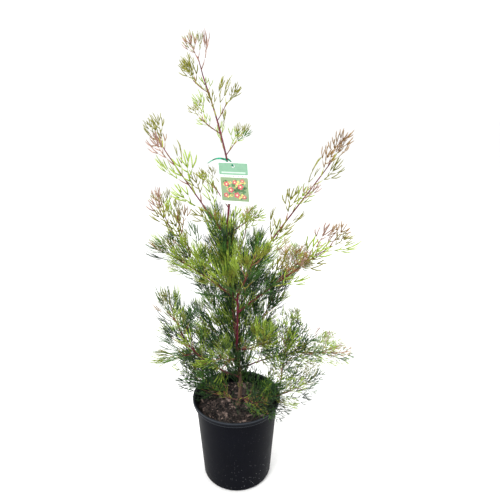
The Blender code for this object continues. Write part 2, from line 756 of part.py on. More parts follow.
def main():
    """Builds every solid of the potted plant."""
    for item in list(bpy.data.objects):
        bpy.data.objects.remove(item)
    rng = random.Random(2718)
    surfaces = {
        "bark": material("young_bark", BARK, 0.75),
        "crimson": material("crimson_wood", CRIMSON, 0.55),
        "green": material("leaf_green", GREEN, 0.55),
        "deep": material("leaf_deep_green", DEEP_GREEN, 0.55),
        "bronze": material("leaf_bronze", BRONZE, 0.55)}
    make_pot(material("pot_plastic", POT_BLACK, 0.45))
    make_potting_mix(material("bark_mix", MIX_BROWN, 0.95), rng)

    grown = grow_limbs()
    path, radii, sides = grown["trunk"]
    trunk = limb_object("trunk", path, radii, sides, surfaces["bark"])
    for vertex in trunk.data.vertices[:sides]:
        vertex.co.z = SOIL_LEVEL + JOINT_GAP
    stems = {}
    boughs = {}
    for limb in (SECOND_STEM,) + LIMBS + SHOOTS + (LEADER_TIP,):
        path, radii, sides = grown[limb.name]
        total = length_of(path)
        end = total * limb.bare
        if limb.bare:
            boughs[limb.name] = part_of(path, radii, 0, end)
        if limb.bare < 1:
            start = end + JOINT_GAP if limb.bare or limb is LEADER_TIP else 0
            stems[limb.name] = part_of(path, radii, start, total)
    for limb in (SECOND_STEM,) + LIMBS:
        bough = limb_object("bough_" + limb.name if limb is not SECOND_STEM else limb.name,
                            *boughs[limb.name], BOUGH_SIDES, surfaces["crimson"])
        parent = boughs.get(limb.parent)
        if parent:
            cut_at_parent(bough, *parent, BOUGH_SIDES)
        else:
            cut_at_parent(bough, *grown["trunk"])

    lines = tie_lines(grown["trunk"][0])
    spaces = Spaces({name: line for name, (line, radii) in stems.items()},
                    [grown["trunk"][:2]] + list(boughs.values()), lines[0] + lines[1], card_matrix())
    for limb in LIMBS + SHOOTS + (LEADER_TIP,):
        cut = grown["trunk"] if limb in SHOOTS else None
        grow_mass(limb, *stems[limb.name], spaces, cut, foliage_surface(surfaces, limb.name), rng)
    make_card(material("printed_card", CARD_GREEN, 0.35))
    make_tie(lines, material("tie_plastic", TIE_GREEN, 0.40))


main()
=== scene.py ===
"""Looks of the potted grevillea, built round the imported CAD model.

Metres, +Z up, +X to the right and +Y to the back; the origin is the middle of the pot's flat
underside. The limbs and masses stand where the part's source puts them, and leaves grow on
from them by the same rule: golden-angle turns, each bent a little upward.
"""

import json
import random
from collections import namedtuple
from math import cos, exp, pi, radians, sin

import bpy
import numpy as np
from bpy.props import FloatProperty, FloatVectorProperty, IntProperty, PointerProperty
from mathutils import Matrix, Vector

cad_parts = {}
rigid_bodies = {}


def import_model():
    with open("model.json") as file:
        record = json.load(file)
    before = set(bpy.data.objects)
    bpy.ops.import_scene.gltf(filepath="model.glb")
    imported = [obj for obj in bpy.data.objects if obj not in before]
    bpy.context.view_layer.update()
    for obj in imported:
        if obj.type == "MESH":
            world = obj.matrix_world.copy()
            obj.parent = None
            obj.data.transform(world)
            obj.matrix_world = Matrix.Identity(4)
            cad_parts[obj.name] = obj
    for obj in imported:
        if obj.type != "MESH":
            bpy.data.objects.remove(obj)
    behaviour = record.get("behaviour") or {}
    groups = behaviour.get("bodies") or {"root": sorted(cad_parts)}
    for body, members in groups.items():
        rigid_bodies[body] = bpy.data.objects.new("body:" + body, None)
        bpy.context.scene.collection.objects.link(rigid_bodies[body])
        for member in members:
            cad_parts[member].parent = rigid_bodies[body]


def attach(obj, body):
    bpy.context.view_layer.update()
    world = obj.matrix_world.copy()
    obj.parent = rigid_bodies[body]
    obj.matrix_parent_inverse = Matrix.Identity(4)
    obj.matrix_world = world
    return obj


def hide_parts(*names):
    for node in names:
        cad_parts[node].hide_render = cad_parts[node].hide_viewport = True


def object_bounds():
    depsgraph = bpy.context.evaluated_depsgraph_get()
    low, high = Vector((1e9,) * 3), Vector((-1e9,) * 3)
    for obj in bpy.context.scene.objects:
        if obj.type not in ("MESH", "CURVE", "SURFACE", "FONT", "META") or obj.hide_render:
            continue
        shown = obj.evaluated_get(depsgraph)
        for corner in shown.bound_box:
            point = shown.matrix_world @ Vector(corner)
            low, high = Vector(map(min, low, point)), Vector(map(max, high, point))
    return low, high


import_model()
CAD_LOW, CAD_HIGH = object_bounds()

bl_info = {
    "name": "Potted Grevillea",
    "version": (1, 0, 0),
    "blender": (4, 5, 0),
    "location": "3D View > Sidebar > Grevillea",
    "description": "Dresses the packed model of a potted grevillea with bark, leaves, pot and label",
    "category": "Object",
}

# Pot and potting mix
POT_HEIGHT = 0.203
RIM_RADIUS = 0.100
RIM_DEPTH = 0.0065
RING_RADIUS = 0.0982
RING_DEPTH = 0.0055
SHOULDER_RADIUS = 0.0925
FOOT_RADIUS = 0.0790
FOOT_ROUND = 0.009
POT_WALL = 0.0018
POT_SIDES = 128
POT_CREASE = 42
DRAIN_HOLES = 8
DRAIN_RADIUS = 0.0045
SOIL_LEVEL = 0.178
FIT_GAP = 0.0004
CHIP_COUNT = 1500
# Bark chips: name, lightness against the setting's colour, and share of all chips
CHIP_KINDS = (("dark", 0.25, 0.50), ("brown", 0.75, 0.36), ("tan", 2.9, 0.14))
CHIP_FREE = 0.009
MIX_SIDES = 96
MIX_RINGS = 40

# Trunk: height, sideways, back; then height and radius
TRUNK_STATIONS = (
    (0.178, 0.003, 0.000), (0.235, 0.009, 0.000), (0.334, 0.001, 0.000), (0.450, -0.008, 0.004),
    (0.580, -0.015, 0.002), (0.700, -0.010, 0.000), (0.800, -0.029, -0.001), (0.886, -0.055, -0.004))
TRUNK_TAPER = ((0.178, 0.0043), (0.334, 0.0037), (0.565, 0.0024), (0.780, 0.0016), (0.886, 0.0011))
FLARE = 0.0030
FLARE_HEIGHT = 0.010
TIP_RADIUS = 0.0008

# Label and tie
CARD_CENTRE = (0.0005, -0.0180, 0.6920)
CARD_YAW = -17.0
CARD_PITCH = 12.0
CARD_CORNER = 0.003
PLATE_CREASE = 30
# Print layers are raised by this much each; flowers by place across, place up and radius
PRINT_STEP = 0.00008
FLOWERS = ((-0.0160, -0.0010, 0.0056), (0.0010, 0.0030, 0.0050), (0.0120, -0.0060, 0.0062),
           (-0.0080, -0.0130, 0.0060), (0.0165, 0.0060, 0.0042), (-0.0185, -0.0240, 0.0052),
           (0.0040, -0.0235, 0.0064), (0.0185, -0.0270, 0.0046))
HOLE_DROP = 0.0070
HOLE_RADIUS = 0.0036
TIE_WIDTH = 0.0038
TIE_THICKNESS = 0.0009
TIE_NECK = 0.0008
STRAP_SIDES = 10
TIE_HEIGHT = 0.7360
TIE_TAIL = 0.034
TAIL_ARCH = 0.0035
TAIL_DROP = 0.0070
TAIL_FORWARD = 0.004

GOLDEN_ANGLE = radians(137.5)
WHITE = (1.0, 1.0, 1.0, 1.0)

# Headings run from 0 at the right to 90 at the back; angles in degrees, sizes in metres.
# "at" is the height on the trunk or second stem, or the share of the length on another limb.
# "bare" is the share that is bough, "habit" how its leaves stand, "flush" how young its end is, or -1
# where its leaves take the dark tints of painted shade.
Limb = namedtuple("Limb", "name parent at heading swing rise lift length radius bare habit flush")
SECOND_STEM = Limb("second_stem", "trunk", 0.328, -80, 0, 73, 20, 0.150, 0.0026, 1.0, "inner", 0)
LIMBS = (
    Limb("right_high", "second_stem", 0.468, 43, -66, 47.4, 10, 0.358, 0.0023, 0.33, "open", 0.85),
    Limb("right_mid", "second_stem", 0.418, -24, 9, 44.8, -7, 0.264, 0.0021, 0.45, "open", 0.60),
    Limb("right_mid_fork", "right_mid", 0.39, -37, -42, 51, -20, 0.118, 0.0014, 0.28, "curly", 1),
    Limb("left_mid", "second_stem", 0.445, 195, -3, 47, -14.5, 0.179, 0.0018, 0.42, "sunny", 0.40),
    Limb("left_upper", "trunk", 0.463, 160, 28, 25.2, 60, 0.210, 0.0019, 0.58, "sparse", 0.75),
    Limb("left_upper_fork", "left_upper", 0.53, 170, -27, 35.7, 34, 0.120, 0.0013, 0.30, "sparse",
         0.95),
    Limb("left_high", "trunk", 0.575, 176, -25, 55.1, -3.8, 0.255, 0.0017, 0.36, "high", 0.80),
    Limb("left_low", "trunk", 0.250, 207, 43, 31.7, 41.7, 0.300, 0.0024, 0.58, "loose", 0.05),
    Limb("left_low_fork", "left_low", 0.50, 205, 0, 12, -30, 0.044, 0.0014, 0.22, "loose", 0.0),
    Limb("left_small", "trunk", 0.334, 150, 2, 1, 19, 0.120, 0.0014, 0.40, "loose", 0.0),
    Limb("left_foot", "trunk", 0.188, 168, 1, 3.1, 67, 0.136, 0.0014, 0.55, "low", -1.0),
    Limb("right_foot", "trunk", 0.194, -14, 27, 0, 30, 0.155, 0.0018, 0.66, "lacy", 0.0),
    Limb("right_twig", "right_foot", 0.60, 30, -16, 84, -3, 0.165, 0.0012, 0.25, "lacy", 0.0),
    Limb("right_back", "trunk", 0.285, 42, -4, 53.7, -5.6, 0.205, 0.0018, 0.50, "dense", 0.0),
    Limb("right_low", "trunk", 0.270, 4, -12, 27.5, -29, 0.208, 0.0019, 0.36, "lacy", 0.45),
    Limb("front_foot", "trunk", 0.200, -56, 28, 4, 24.5, 0.086, 0.0015, 0.35, "low", -1.0),
    Limb("front_right", "trunk", 0.322, -55, -15, 22, 25, 0.150, 0.0016, 0.40, "dense", 0.0),
    Limb("front_left", "trunk", 0.300, -112, 15, 20, 25, 0.145, 0.0016, 0.40, "dense", 0.0),
    Limb("front_high", "second_stem", 0.456, -72, 10, 45, 15, 0.150, 0.0016, 0.36, "loose", 0.0),
    Limb("back_low", "trunk", 0.300, 118, 10, 25, 30, 0.180, 0.0017, 0.42, "dense", 0.0),
    Limb("back_mid", "trunk", 0.360, 75, -15, 35, 20, 0.190, 0.0017, 0.42, "dense", 0.0),
    Limb("back_high", "trunk", 0.430, 104, 10, 40, 20, 0.190, 0.0016, 0.42, "dense", 0.15),
    Limb("back_top", "trunk", 0.490, 60, 15, 44, 4, 0.130, 0.0015, 0.40, "open", 0.30))
SHOOTS = (
    Limb("waist_right", "trunk", 0.580, 8, 0, 44, -14, 0.052, 0.0011, 0.0, "sprig", 0.10),
    Limb("waist_left", "trunk", 0.640, 172, 0, 55, 5, 0.062, 0.0011, 0.0, "sprig", 0.10),
    Limb("collar_right", "trunk", 0.744, 10, 0, 50, 6, 0.032, 0.0010, 0.0, "sprig", 0.20),
    Limb("collar_left", "trunk", 0.784, 168, 0, 30, 12, 0.050, 0.0010, 0.0, "sprig", 0.20),
    Limb("leader_right", "trunk", 0.808, 12, 0, 55, 12, 0.040, 0.0009, 0.0, "sprig", 0.25),
    Limb("leader_left", "trunk", 0.858, 188, 0, 28, 20, 0.036, 0.0008, 0.0, "sprig", 0.10),
    Limb("leader_tip", "trunk", 0.886, 180, 9, 77, -4, 0.036, 0.0011, 0.0, "sprig", 0.60))

# How leaves stand on a limb: distance between them, a side shoot at every so many of them,
# leaf length against the plant's own, kind of leaf, share of the limb where they start, and
# share up to which the limb is clothed as densely as the second stem.
Habit = namedtuple("Habit", "spacing shoot_every leaf kind start base")
HABITS = {
    "dense": Habit(0.0084, 2, 1.00, "long", 0.10, 0.0),
    "sunny": Habit(0.0064, 2, 0.96, "gold", 0.08, 0.0),
    "inner": Habit(0.0080, 4, 1.00, "long", 0.10, 0.0),
    "open": Habit(0.0235, 0, 0.96, "comb", 0.26, 0.26),
    "sparse": Habit(0.0215, 0, 0.90, "comb", 0.20, 0.0),
    "lacy": Habit(0.0078, 2, 0.92, "lace", 0.16, 0.0),
    "low": Habit(0.0044, 2, 0.98, "lace", 0.10, 0.0),
    "curly": Habit(0.0040, 2, 0.62, "young", 0.46, 0.0),
    "high": Habit(0.0215, 0, 0.96, "comb", 0.05, 0.0),
    "loose": Habit(0.0108, 2, 1.00, "long", 0.10, 0.0),
    "sprig": Habit(0.0200, 0, 0.80, "comb", 0.0, 0.0)}
# Leaves straight on the trunk: lowest and highest place, how they stand and how young they are, -1
# giving the lowest ones the dark tints of painted shade.
TRUNK_LEAVES = (
    (0.215, 0.33, Habit(0.0026, 0, 0.90, "long", 0.0, 0.0), -1.0),
    (0.33, 0.57, Habit(0.0042, 0, 1.00, "long", 0.0, 0.0), 0.0),
    (0.57, 0.882, Habit(0.0330, 0, 0.62, "comb", 0.0, 0.0), 0.35))
# Gaps in the leaves where stem and tie show, from the front: left and right, low and high.
CLEAR_GAPS = ((-0.002, 0.012, 0.36, 0.46), (-0.062, 0.006, 0.722, 0.752))

# Kinds of leaf, for a leaf of length 1: bare stalk, side arms, lobes on each arm, length of an
# arm, length and width of a lobe, angle of the arms and between the lobes, and upward curl.
LeafKind = namedtuple("LeafKind",
                      "stalk arms lobes arm_length lobe_length lobe_width arm_angle fan curl")
LEAF_KINDS = {
    "long": LeafKind(0.24, 4, 2, 0.14, 0.56, 0.0170, 27, 18, 0.16),
    "gold": LeafKind(0.26, 4, 2, 0.17, 0.50, 0.0185, 32, 22, 0.18),
    "comb": LeafKind(0.33, 4, 2, 0.25, 0.36, 0.0315, 42, 29, 0.22),
    "lace": LeafKind(0.24, 5, 2, 0.27, 0.25, 0.0225, 46, 34, 0.20),
    "young": LeafKind(0.30, 5, 2, 0.26, 0.26, 0.0240, 46, 36, 0.50)}
SHAPES_PER_KIND = 9
LEAF_TRIES = 6
SHOOT_TRIES = 5
SHOOT_STEPS = 6
SHOOT_RADIUS = 0.00080
SHOOT_TIP_RADIUS = 0.00045
YELLOW_STALKS = 0.7
TINTS = ("deep", "mid", "bright", "olive", "bronze", "pink")
# Shares of the first four tints: painted shade near the pot, and for the kinds of leaf that have their
# own
TINT_SHARES = {"shade": (0.60, 0.32, 0.05, 0.03), "comb": (0.0, 0.05, 0.33, 0.62),
               "gold": (0.16, 0.20, 0.50, 0.14), "lace": (0.20, 0.36, 0.29, 0.15)}

# Stage: name, place, width and power of each light, and the camera as the picture was taken
LIGHTS = (("key", (-1.2, -1.9, 2.3), 1.2, 66.0), ("fill", (1.9, -1.3, 1.5), 1.6, 12.0),
          ("top", (0.3, 0.9, 2.8), 1.4, 24.0))
LIGHT_AIM = (0.0, 0.0, 0.45)
SKY_STRENGTH = 1.10
FLOOR_REACH = 30.0
FLOOR_THICKNESS = 0.02
FLOOR_GAP = 0.0002
CAMERA_PLACE = (0.0306, -0.883, 0.835)
CAMERA_TILT = 72.23
SENSOR_WIDTH = 36.0
LENS = 32.4


def linear(code):
    """Linear colour, with alpha, of an sRGB hex value such as #2f5a34."""
    shares = [int(code[i:i + 2], 16) / 255 for i in (1, 3, 5)]
    return [s / 12.92 if s <= 0.04045 else ((s + 0.055) / 1.055) ** 2.4 for s in shares] + [1.0]


def length_setting(name, description, default):
    return FloatProperty(name=name, description=description, default=default, min=0.0, unit="LENGTH")


def colour_setting(name, description, code):
    return FloatVectorProperty(name=name, description=description, default=linear(code), size=4,
                               min=0.0, max=1.0, subtype="COLOR")


class PlantSizes(bpy.types.PropertyGroup):
    leaf_length: length_setting("Leaf length", "Length of a leaf deep in the crown", 0.084)
    leaf_spacing: length_setting("Leaf spacing", "Distance between leaves on a side shoot", 0.0100)
    shoot_length: length_setting("Side shoot length", "Length of a middling side shoot", 0.050)
    bark_relief: length_setting("Bark relief", "Depth of the ridges on the trunk", 0.00035)
    seed: IntProperty(name="Seed", description="Another seed deals the leaves out anew", default=2718)


class LabelSizes(bpy.types.PropertyGroup):
    width: length_setting("Width", "Width of the label", 0.0605)
    height: length_setting("Height", "Height of the label", 0.0855)
    thickness: length_setting("Thickness", "Thickness of the label", 0.0007)


class WoodAndPotColours(bpy.types.PropertyGroup):
    pot: colour_setting("Pot", "Moulded pot", "#08090f")
    mix: colour_setting("Mix", "Fine part of the potting mix", "#120f0f")
    chips: colour_setting("Chips", "Bark chips on the mix", "#4c403b")
    old_bark: colour_setting("Old bark", "Bark at the foot of the trunk", "#6c5646")
    young_bark: colour_setting("Young bark", "Bark of the boughs and the leader", "#5a1426")
    twig: colour_setting("Twig", "Skin of side shoots", "#9a6a52")
    stalk: colour_setting("Stalk", "Leaf stalks", "#a3ab48")


# Deep and bright are the one leaf green painted darker and lighter: deep as painted shade inside the
# crown and near the pot, bright partly as fresh yellow-green leaves and partly as painted light high
# in the crown.
class LeafColours(bpy.types.PropertyGroup):
    deep: colour_setting("Deep", "Leaves deep in the crown", "#233a20")
    mid: colour_setting("Mid", "Most of the grown leaves", "#42672a")
    bright: colour_setting("Bright", "Fresh leaves in the light", "#94ab3e")
    olive: colour_setting("Olive", "Grown leaves that turn olive", "#80802c")
    bronze: colour_setting("Bronze", "Young leaves", "#947448")
    pink: colour_setting("Pink", "Youngest leaves", "#9f7d6e")


class LabelColours(bpy.types.PropertyGroup):
    card: colour_setting("Card", "Bare card", "#eef1ee")
    header: colour_setting("Header", "Band at the top", "#78a287")
    tie: colour_setting("Tie", "Moulded tie", "#12b98a")


def fill(tree, made, inputs):
    """Sets each named socket to a value, or links it to a socket or to a node's first output."""
    for name, value in inputs.items():
        if isinstance(value, bpy.types.Node):
            value = value.outputs[0]
        if isinstance(value, bpy.types.NodeSocket):
            tree.links.new(value, made.inputs[name])
        else:
            made.inputs[name].default_value = value


def add_node(tree, kind, inputs=None, stops=(), **settings):
    """Adds a node, gives it its settings and colour stops, and sets or links its sockets."""
    made = tree.nodes.new("ShaderNode" + kind)
    for name, value in settings.items():
        setattr(made, name, value)
    for i, (place, colour) in enumerate(stops):
        ramp = made.color_ramp.elements
        stop = ramp[i] if i < 2 else ramp.new(place)
        stop.position = place
        stop.color = colour
    fill(tree, made, inputs or {})
    return made


def start_material(name):
    """An empty node tree with its output, its shader and the object's own coordinates."""
    material = bpy.data.materials.new(name)
    material.use_nodes = True
    tree = material.node_tree
    tree.nodes.clear()
    shader = add_node(tree, "BsdfPrincipled")
    add_node(tree, "OutputMaterial", {"Surface": shader.outputs[0]})
    place = add_node(tree, "TexCoord").outputs["Object"]
    return material, tree, shader, place


def shade(colour, factor):
    """A colour made lighter or darker."""
    return [min(1.0, c * factor) for c in colour[:3]] + [1.0]


def tones(colour, *stops):
    """Stops of a colour ramp from (place, factor of the colour)."""
    return [(place, shade(colour, factor)) for place, factor in stops]


def moulded_polypropylene(colours):
    """Black polypropylene from a satin mould: soft gloss, scuffs, dust, and painted highlights along
    the rounded edges of rim and ring.
    """
    material, tree, shader, place = start_material("moulded_polypropylene")
    # One cell of 3 mm in six holds a dust speck, and they are thickest low on the right.
    specks = add_node(tree, "TexVoronoi", {"Vector": place, "Scale": 330.0})
    dots = add_node(tree, "ValToRGB", {"Fac": specks}, tones(WHITE, (0.14, 1), (0.28, 0)))
    chance = add_node(tree, "SeparateColor", {"Color": specks.outputs["Color"]})
    chosen = add_node(tree, "Math", {0: chance.outputs["Red"], 1: 0.84}, operation="GREATER_THAN")
    dust = add_node(tree, "Math", {0: dots, 1: chosen}, operation="MULTIPLY")
    # Scuffs are 35 mm long.
    patches = add_node(tree, "TexNoise", {"Vector": place, "Scale": 28.0, "Detail": 3.0})
    apart = add_node(tree, "SeparateXYZ", {"Vector": place})
    low = add_node(tree, "MapRange", {"Value": apart.outputs["Z"], "From Min": 0.10, "From Max": 0.02,
                                      "To Min": 0.12, "To Max": 0.90})
    right = add_node(tree, "MapRange", {"Value": apart.outputs["X"], "From Min": -0.04,
                                        "From Max": 0.04, "To Min": 0.22, "To Max": 1.0})
    share = add_node(tree, "Math", {0: low, 1: right}, operation="MULTIPLY")
    faint = add_node(tree, "Math", {0: dust, 1: share}, operation="MULTIPLY")
    body = add_node(tree, "Mix", {"Factor": patches, 6: shade(colours.pot, 0.8),
                                  7: shade(colours.pot, 1.35)}, data_type="RGBA")
    # The rounded edges of ring and rim are painted paler as highlights where they would catch the
    # light, and the groove between them keeps the body's dark tone.
    rim = add_node(tree, "MapRange", {"Value": apart.outputs["Z"], "From Min": POT_HEIGHT - 0.015,
                                      "From Max": POT_HEIGHT})
    painted_rim_highlight = add_node(tree, "ValToRGB", {"Fac": rim}, tones(
        WHITE, (0.10, 0), (1.0, 0.7), (0.24, 0.8), (0.36, 0.06), (0.74, 0.10), (0.90, 1)))
    tone = add_node(tree, "Mix", {"Factor": painted_rim_highlight, 6: body.outputs[2],
                                  7: linear("#272c33")}, data_type="RGBA")
    finish = add_node(tree, "Mix", {"Factor": faint, 6: tone.outputs[2],
                                    7: linear("#9a9b9e")}, data_type="RGBA")
    rough = add_node(tree, "MapRange", {"Value": patches, "To Min": 0.36, "To Max": 0.52})
    gloss = add_node(tree, "MapRange", {"Value": painted_rim_highlight, "To Min": 0.03, "To Max": 0.20})
    grain = add_node(tree, "TexNoise", {"Vector": place, "Scale": 700.0, "Detail": 2.0})
    bump = add_node(tree, "Bump", {"Height": grain, "Strength": 0.12, "Distance": 0.0004})
    fill(tree, shader, {"Base Color": finish.outputs[2], "Roughness": rough, "IOR": 1.49,
                        "Specular IOR Level": gloss, "Normal": bump})
    return material


def composted_bark(name, colour, grain_size):
    """Composted pine bark: dull crumbs with paler torn fibres, dark between them."""
    material, tree, shader, place = start_material(name)
    crumbs = add_node(tree, "TexNoise", {"Vector": place, "Scale": 1 / grain_size, "Detail": 6.0,
                                         "Roughness": 0.7})
    tone = add_node(tree, "ValToRGB", {"Fac": crumbs},
                    tones(colour, (0.30, 0.35), (0.72, 1.9), (0.52, 1)))
    bump = add_node(tree, "Bump", {"Height": crumbs, "Strength": 0.7,
                                   "Distance": grain_size * 0.3})
    fill(tree, shader, {"Base Color": tone, "Roughness": 0.92, "IOR": 1.45, "Normal": bump})
    return material


def grown_bark(name, colours, foot, top):
    """Bark that is grey-brown and fissured at the foot and smooth crimson higher up."""
    material, tree, shader, place = start_material(name)
    height = add_node(tree, "SeparateXYZ", {"Vector": place}).outputs["Z"]
    age = add_node(tree, "MapRange", {"Value": height, "From Min": foot, "From Max": top})
    # Fissures 1.5 mm apart, drawn out along the stem.
    drawn = add_node(tree, "Mapping", {"Vector": place, "Scale": (650.0, 650.0, 90.0)})
    fissures = add_node(tree, "TexNoise", {"Vector": drawn, "Scale": 1.0, "Detail": 4.0})
    blotches = add_node(tree, "TexNoise", {"Vector": place, "Scale": 70.0, "Detail": 3.0})
    old = add_node(tree, "ValToRGB", {"Fac": fissures},
                   tones(colours.old_bark, (0.32, 0.45), (0.68, 1.35)))
    young = add_node(tree, "ValToRGB", {"Fac": blotches},
                     tones(colours.young_bark, (0.35, 0.62), (0.70, 1.7)))
    mixed = add_node(tree, "Mix", {"Factor": age, 6: old,
                                   7: young}, data_type="RGBA")
    rough = add_node(tree, "MapRange", {"Value": age, "To Min": 0.85, "To Max": 0.48})
    bump = add_node(tree, "Bump", {"Height": fissures, "Strength": 0.55, "Distance": 0.0006})
    fill(tree, shader, {"Base Color": mixed.outputs[2], "Roughness": rough, "IOR": 1.45,
                        "Normal": bump})
    return material


def living_leaf(name, colour, roughness=0.5, spread=0.35):
    """Living leaf or green skin: a waxy film over colour that changes a little from lobe to lobe."""
    material, tree, shader, place = start_material(name)
    # Patches of tone are 40 mm wide, and each lobe has a paler streak of some 3 mm.
    broad = add_node(tree, "TexNoise", {"Vector": place, "Scale": 26.0, "Detail": 2.0})
    fine = add_node(tree, "TexNoise", {"Vector": place, "Scale": 320.0, "Detail": 1.0})
    both = add_node(tree, "Mix", {"Factor": 0.35, 2: broad, 3: fine})
    tone = add_node(tree, "ValToRGB", {"Fac": both},
                    tones(colour, (0.34, 1 - spread), (0.66, 1 + spread * 1.3)))
    rough = add_node(tree, "MapRange", {"Value": fine, "To Min": roughness - 0.08,
                                        "To Max": roughness + 0.10})
    bump = add_node(tree, "Bump", {"Height": fine, "Strength": 0.2, "Distance": 0.0003})
    fill(tree, shader, {"Base Color": tone, "Roughness": rough,
                        "IOR": 1.42, "Specular IOR Level": 0.3, "Normal": bump})
    return material


def printed_card(name, colour):
    """Printed and laminated card: even ink with a faint screen of dots under a thin gloss film."""
    material, tree, shader, place = start_material(name)
    # The print screen is drawn at 0.5 mm, which is coarser than a real one, so that it shows.
    screen = add_node(tree, "TexVoronoi", {"Vector": place, "Scale": 2000.0})
    cloud = add_node(tree, "TexNoise", {"Vector": place, "Scale": 90.0, "Detail": 2.0})
    mottle = add_node(tree, "Mix", {"Factor": 0.6, 2: screen, 3: cloud})
    tone = add_node(tree, "ValToRGB", {"Fac": mottle}, tones(colour, (0.30, 0.90), (0.62, 1.05)))
    rough = add_node(tree, "MapRange", {"Value": cloud, "To Min": 0.28, "To Max": 0.42})
    fill(tree, shader, {"Base Color": tone, "Roughness": rough, "IOR": 1.5})
    return material


def moulded_vinyl(colour):
    """Soft vinyl of the tie: clear green with dark patches scattered over it, painted shade that
    stands in for the creases of the bent and twisted strap.
    """
    material, tree, shader, place = start_material("moulded_vinyl")
    crease_shade_noise = add_node(tree, "TexNoise", {"Vector": place, "Scale": 260.0, "Detail": 3.0})
    tone = add_node(tree, "ValToRGB", {"Fac": crease_shade_noise}, tones(colour, (0.40, 0.22), (0.60, 1.1)))
    rough = add_node(tree, "MapRange", {"Value": crease_shade_noise, "To Min": 0.28, "To Max": 0.45})
    fill(tree, shader, {"Base Color": tone, "Roughness": rough, "IOR": 1.53})
    return material


def painted_board():
    """Matt painted board: nearly even pale paint with a faint roller texture."""
    material, tree, shader, place = start_material("painted_board")
    roller = add_node(tree, "TexNoise", {"Vector": place, "Scale": 160.0, "Detail": 3.0})
    tone = add_node(tree, "ValToRGB", {"Fac": roller},
                    ((0.3, linear("#f4f4f3")), (0.7, linear("#fafaf9"))))
    fill(tree, shader, {"Base Color": tone, "Roughness": 0.8})
    return material


def unit(vector):
    return vector / np.linalg.norm(vector)


def tangents(points):
    """Direction of a line at each of its points."""
    ways = np.gradient(points, axis=0)
    return ways / np.linalg.norm(ways, axis=1, keepdims=True)


def cross_frame(way):
    """Two directions square to a limb's own, the first as level as can be."""
    side = np.cross(way, (0.0, 0.0, 1.0))
    if np.linalg.norm(side) < 0.05:
        side = np.cross(way, (0.0, 1.0, 0.0))
    side = unit(side)
    return side, unit(np.cross(side, way))


class Line:
    """Centre line of a limb with its radius along it."""

    def __init__(self, points, radii):
        self.points = np.array(points, float)
        self.radii = np.array(radii, float)
        steps = np.linalg.norm(np.diff(self.points, axis=0), axis=1)
        self.places = np.concatenate([[0.0], np.cumsum(steps)])
        self.length = self.places[-1]

    def at(self, place):
        """Point at a distance along the line, and the line's direction there."""
        point = np.array([np.interp(place, self.places, row) for row in self.points.T])
        after = min(max(int(np.searchsorted(self.places, place)), 1), len(self.points) - 1)
        return point, unit(self.points[after] - self.points[after - 1])

    def part(self, start, end, step=0.004):
        """Stretch of the line between two distances."""
        places = np.linspace(start, end, max(3, int(round((end - start) / step)) + 1))
        points = np.stack([np.interp(places, self.places, row) for row in self.points.T], axis=1)
        return Line(points, np.interp(places, self.places, self.radii))


class Gather:
    """Gathers closed pieces as arrays and makes one object of them."""

    def __init__(self):
        self.vertices = []
        self.triangles = []
        self.count = 0

    def add(self, vertices, triangles):
        """Adds one closed piece, its triangles turned to face outward."""
        vertices = np.asarray(vertices, float).reshape(-1, 3)
        triangles = np.asarray(triangles, int).reshape(-1, 3)
        corners = vertices[triangles]
        if np.einsum("ij,ij->", corners[:, 0], np.cross(corners[:, 1], corners[:, 2])) < 0:
            triangles = triangles[:, ::-1]
        self.add_many(vertices, triangles)

    def add_many(self, vertices, triangles):
        self.vertices.append(vertices)
        self.triangles.append(triangles + self.count)
        self.count += len(vertices)

    def build(self, name, material, crease=None):
        """The object made of all pieces, smooth but for edges sharper than the crease."""
        vertices = np.concatenate(self.vertices).astype(np.float32)
        triangles = np.concatenate(self.triangles).astype(np.int32)
        mesh = bpy.data.meshes.new(name)
        mesh.vertices.add(len(vertices))
        mesh.vertices.foreach_set("co", vertices.ravel())
        mesh.loops.add(triangles.size)
        mesh.loops.foreach_set("vertex_index", triangles.ravel())
        mesh.polygons.add(len(triangles))
        mesh.polygons.foreach_set("loop_start", np.arange(0, triangles.size, 3, dtype=np.int32))
        mesh.materials.append(material)
        mesh.update(calc_edges=True)
        mesh.validate()
        mesh.shade_smooth()
        if crease:
            mesh.set_sharp_from_angle(angle=radians(crease))
        item = bpy.data.objects.new(name, mesh)
        bpy.context.scene.collection.objects.link(item)
        return item


def settle(item, slot, *nodes):
    """Puts a finished piece on the body and hides the nodes it stands for; its material slot is not
    used.
    """
    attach(item, "root")
    if nodes:
        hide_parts(*nodes)
    return item


def ring_triangles(rings, sides):
    """Triangles between rings of vertices that follow one another, without the ends."""
    low = np.arange((rings - 1) * sides)
    after = low - low % sides + (low + 1) % sides
    return np.concatenate([np.stack([low, after, after + sides], axis=1),
                           np.stack([low, after + sides, low + sides], axis=1)])


def closed(rings, ends):
    """Closed body from rings that follow one another and the middle points of its two ends."""
    count, sides = len(rings), len(rings[0])
    first = np.arange(sides)
    after = (first + 1) % sides
    last = (count - 1) * sides
    base = np.full(sides, count * sides)
    caps = [np.stack([after, first, base], axis=1),
            np.stack([first + last, after + last, base + 1], axis=1)]
    return np.concatenate(rings + [ends]), np.concatenate([ring_triangles(count, sides)] + caps)


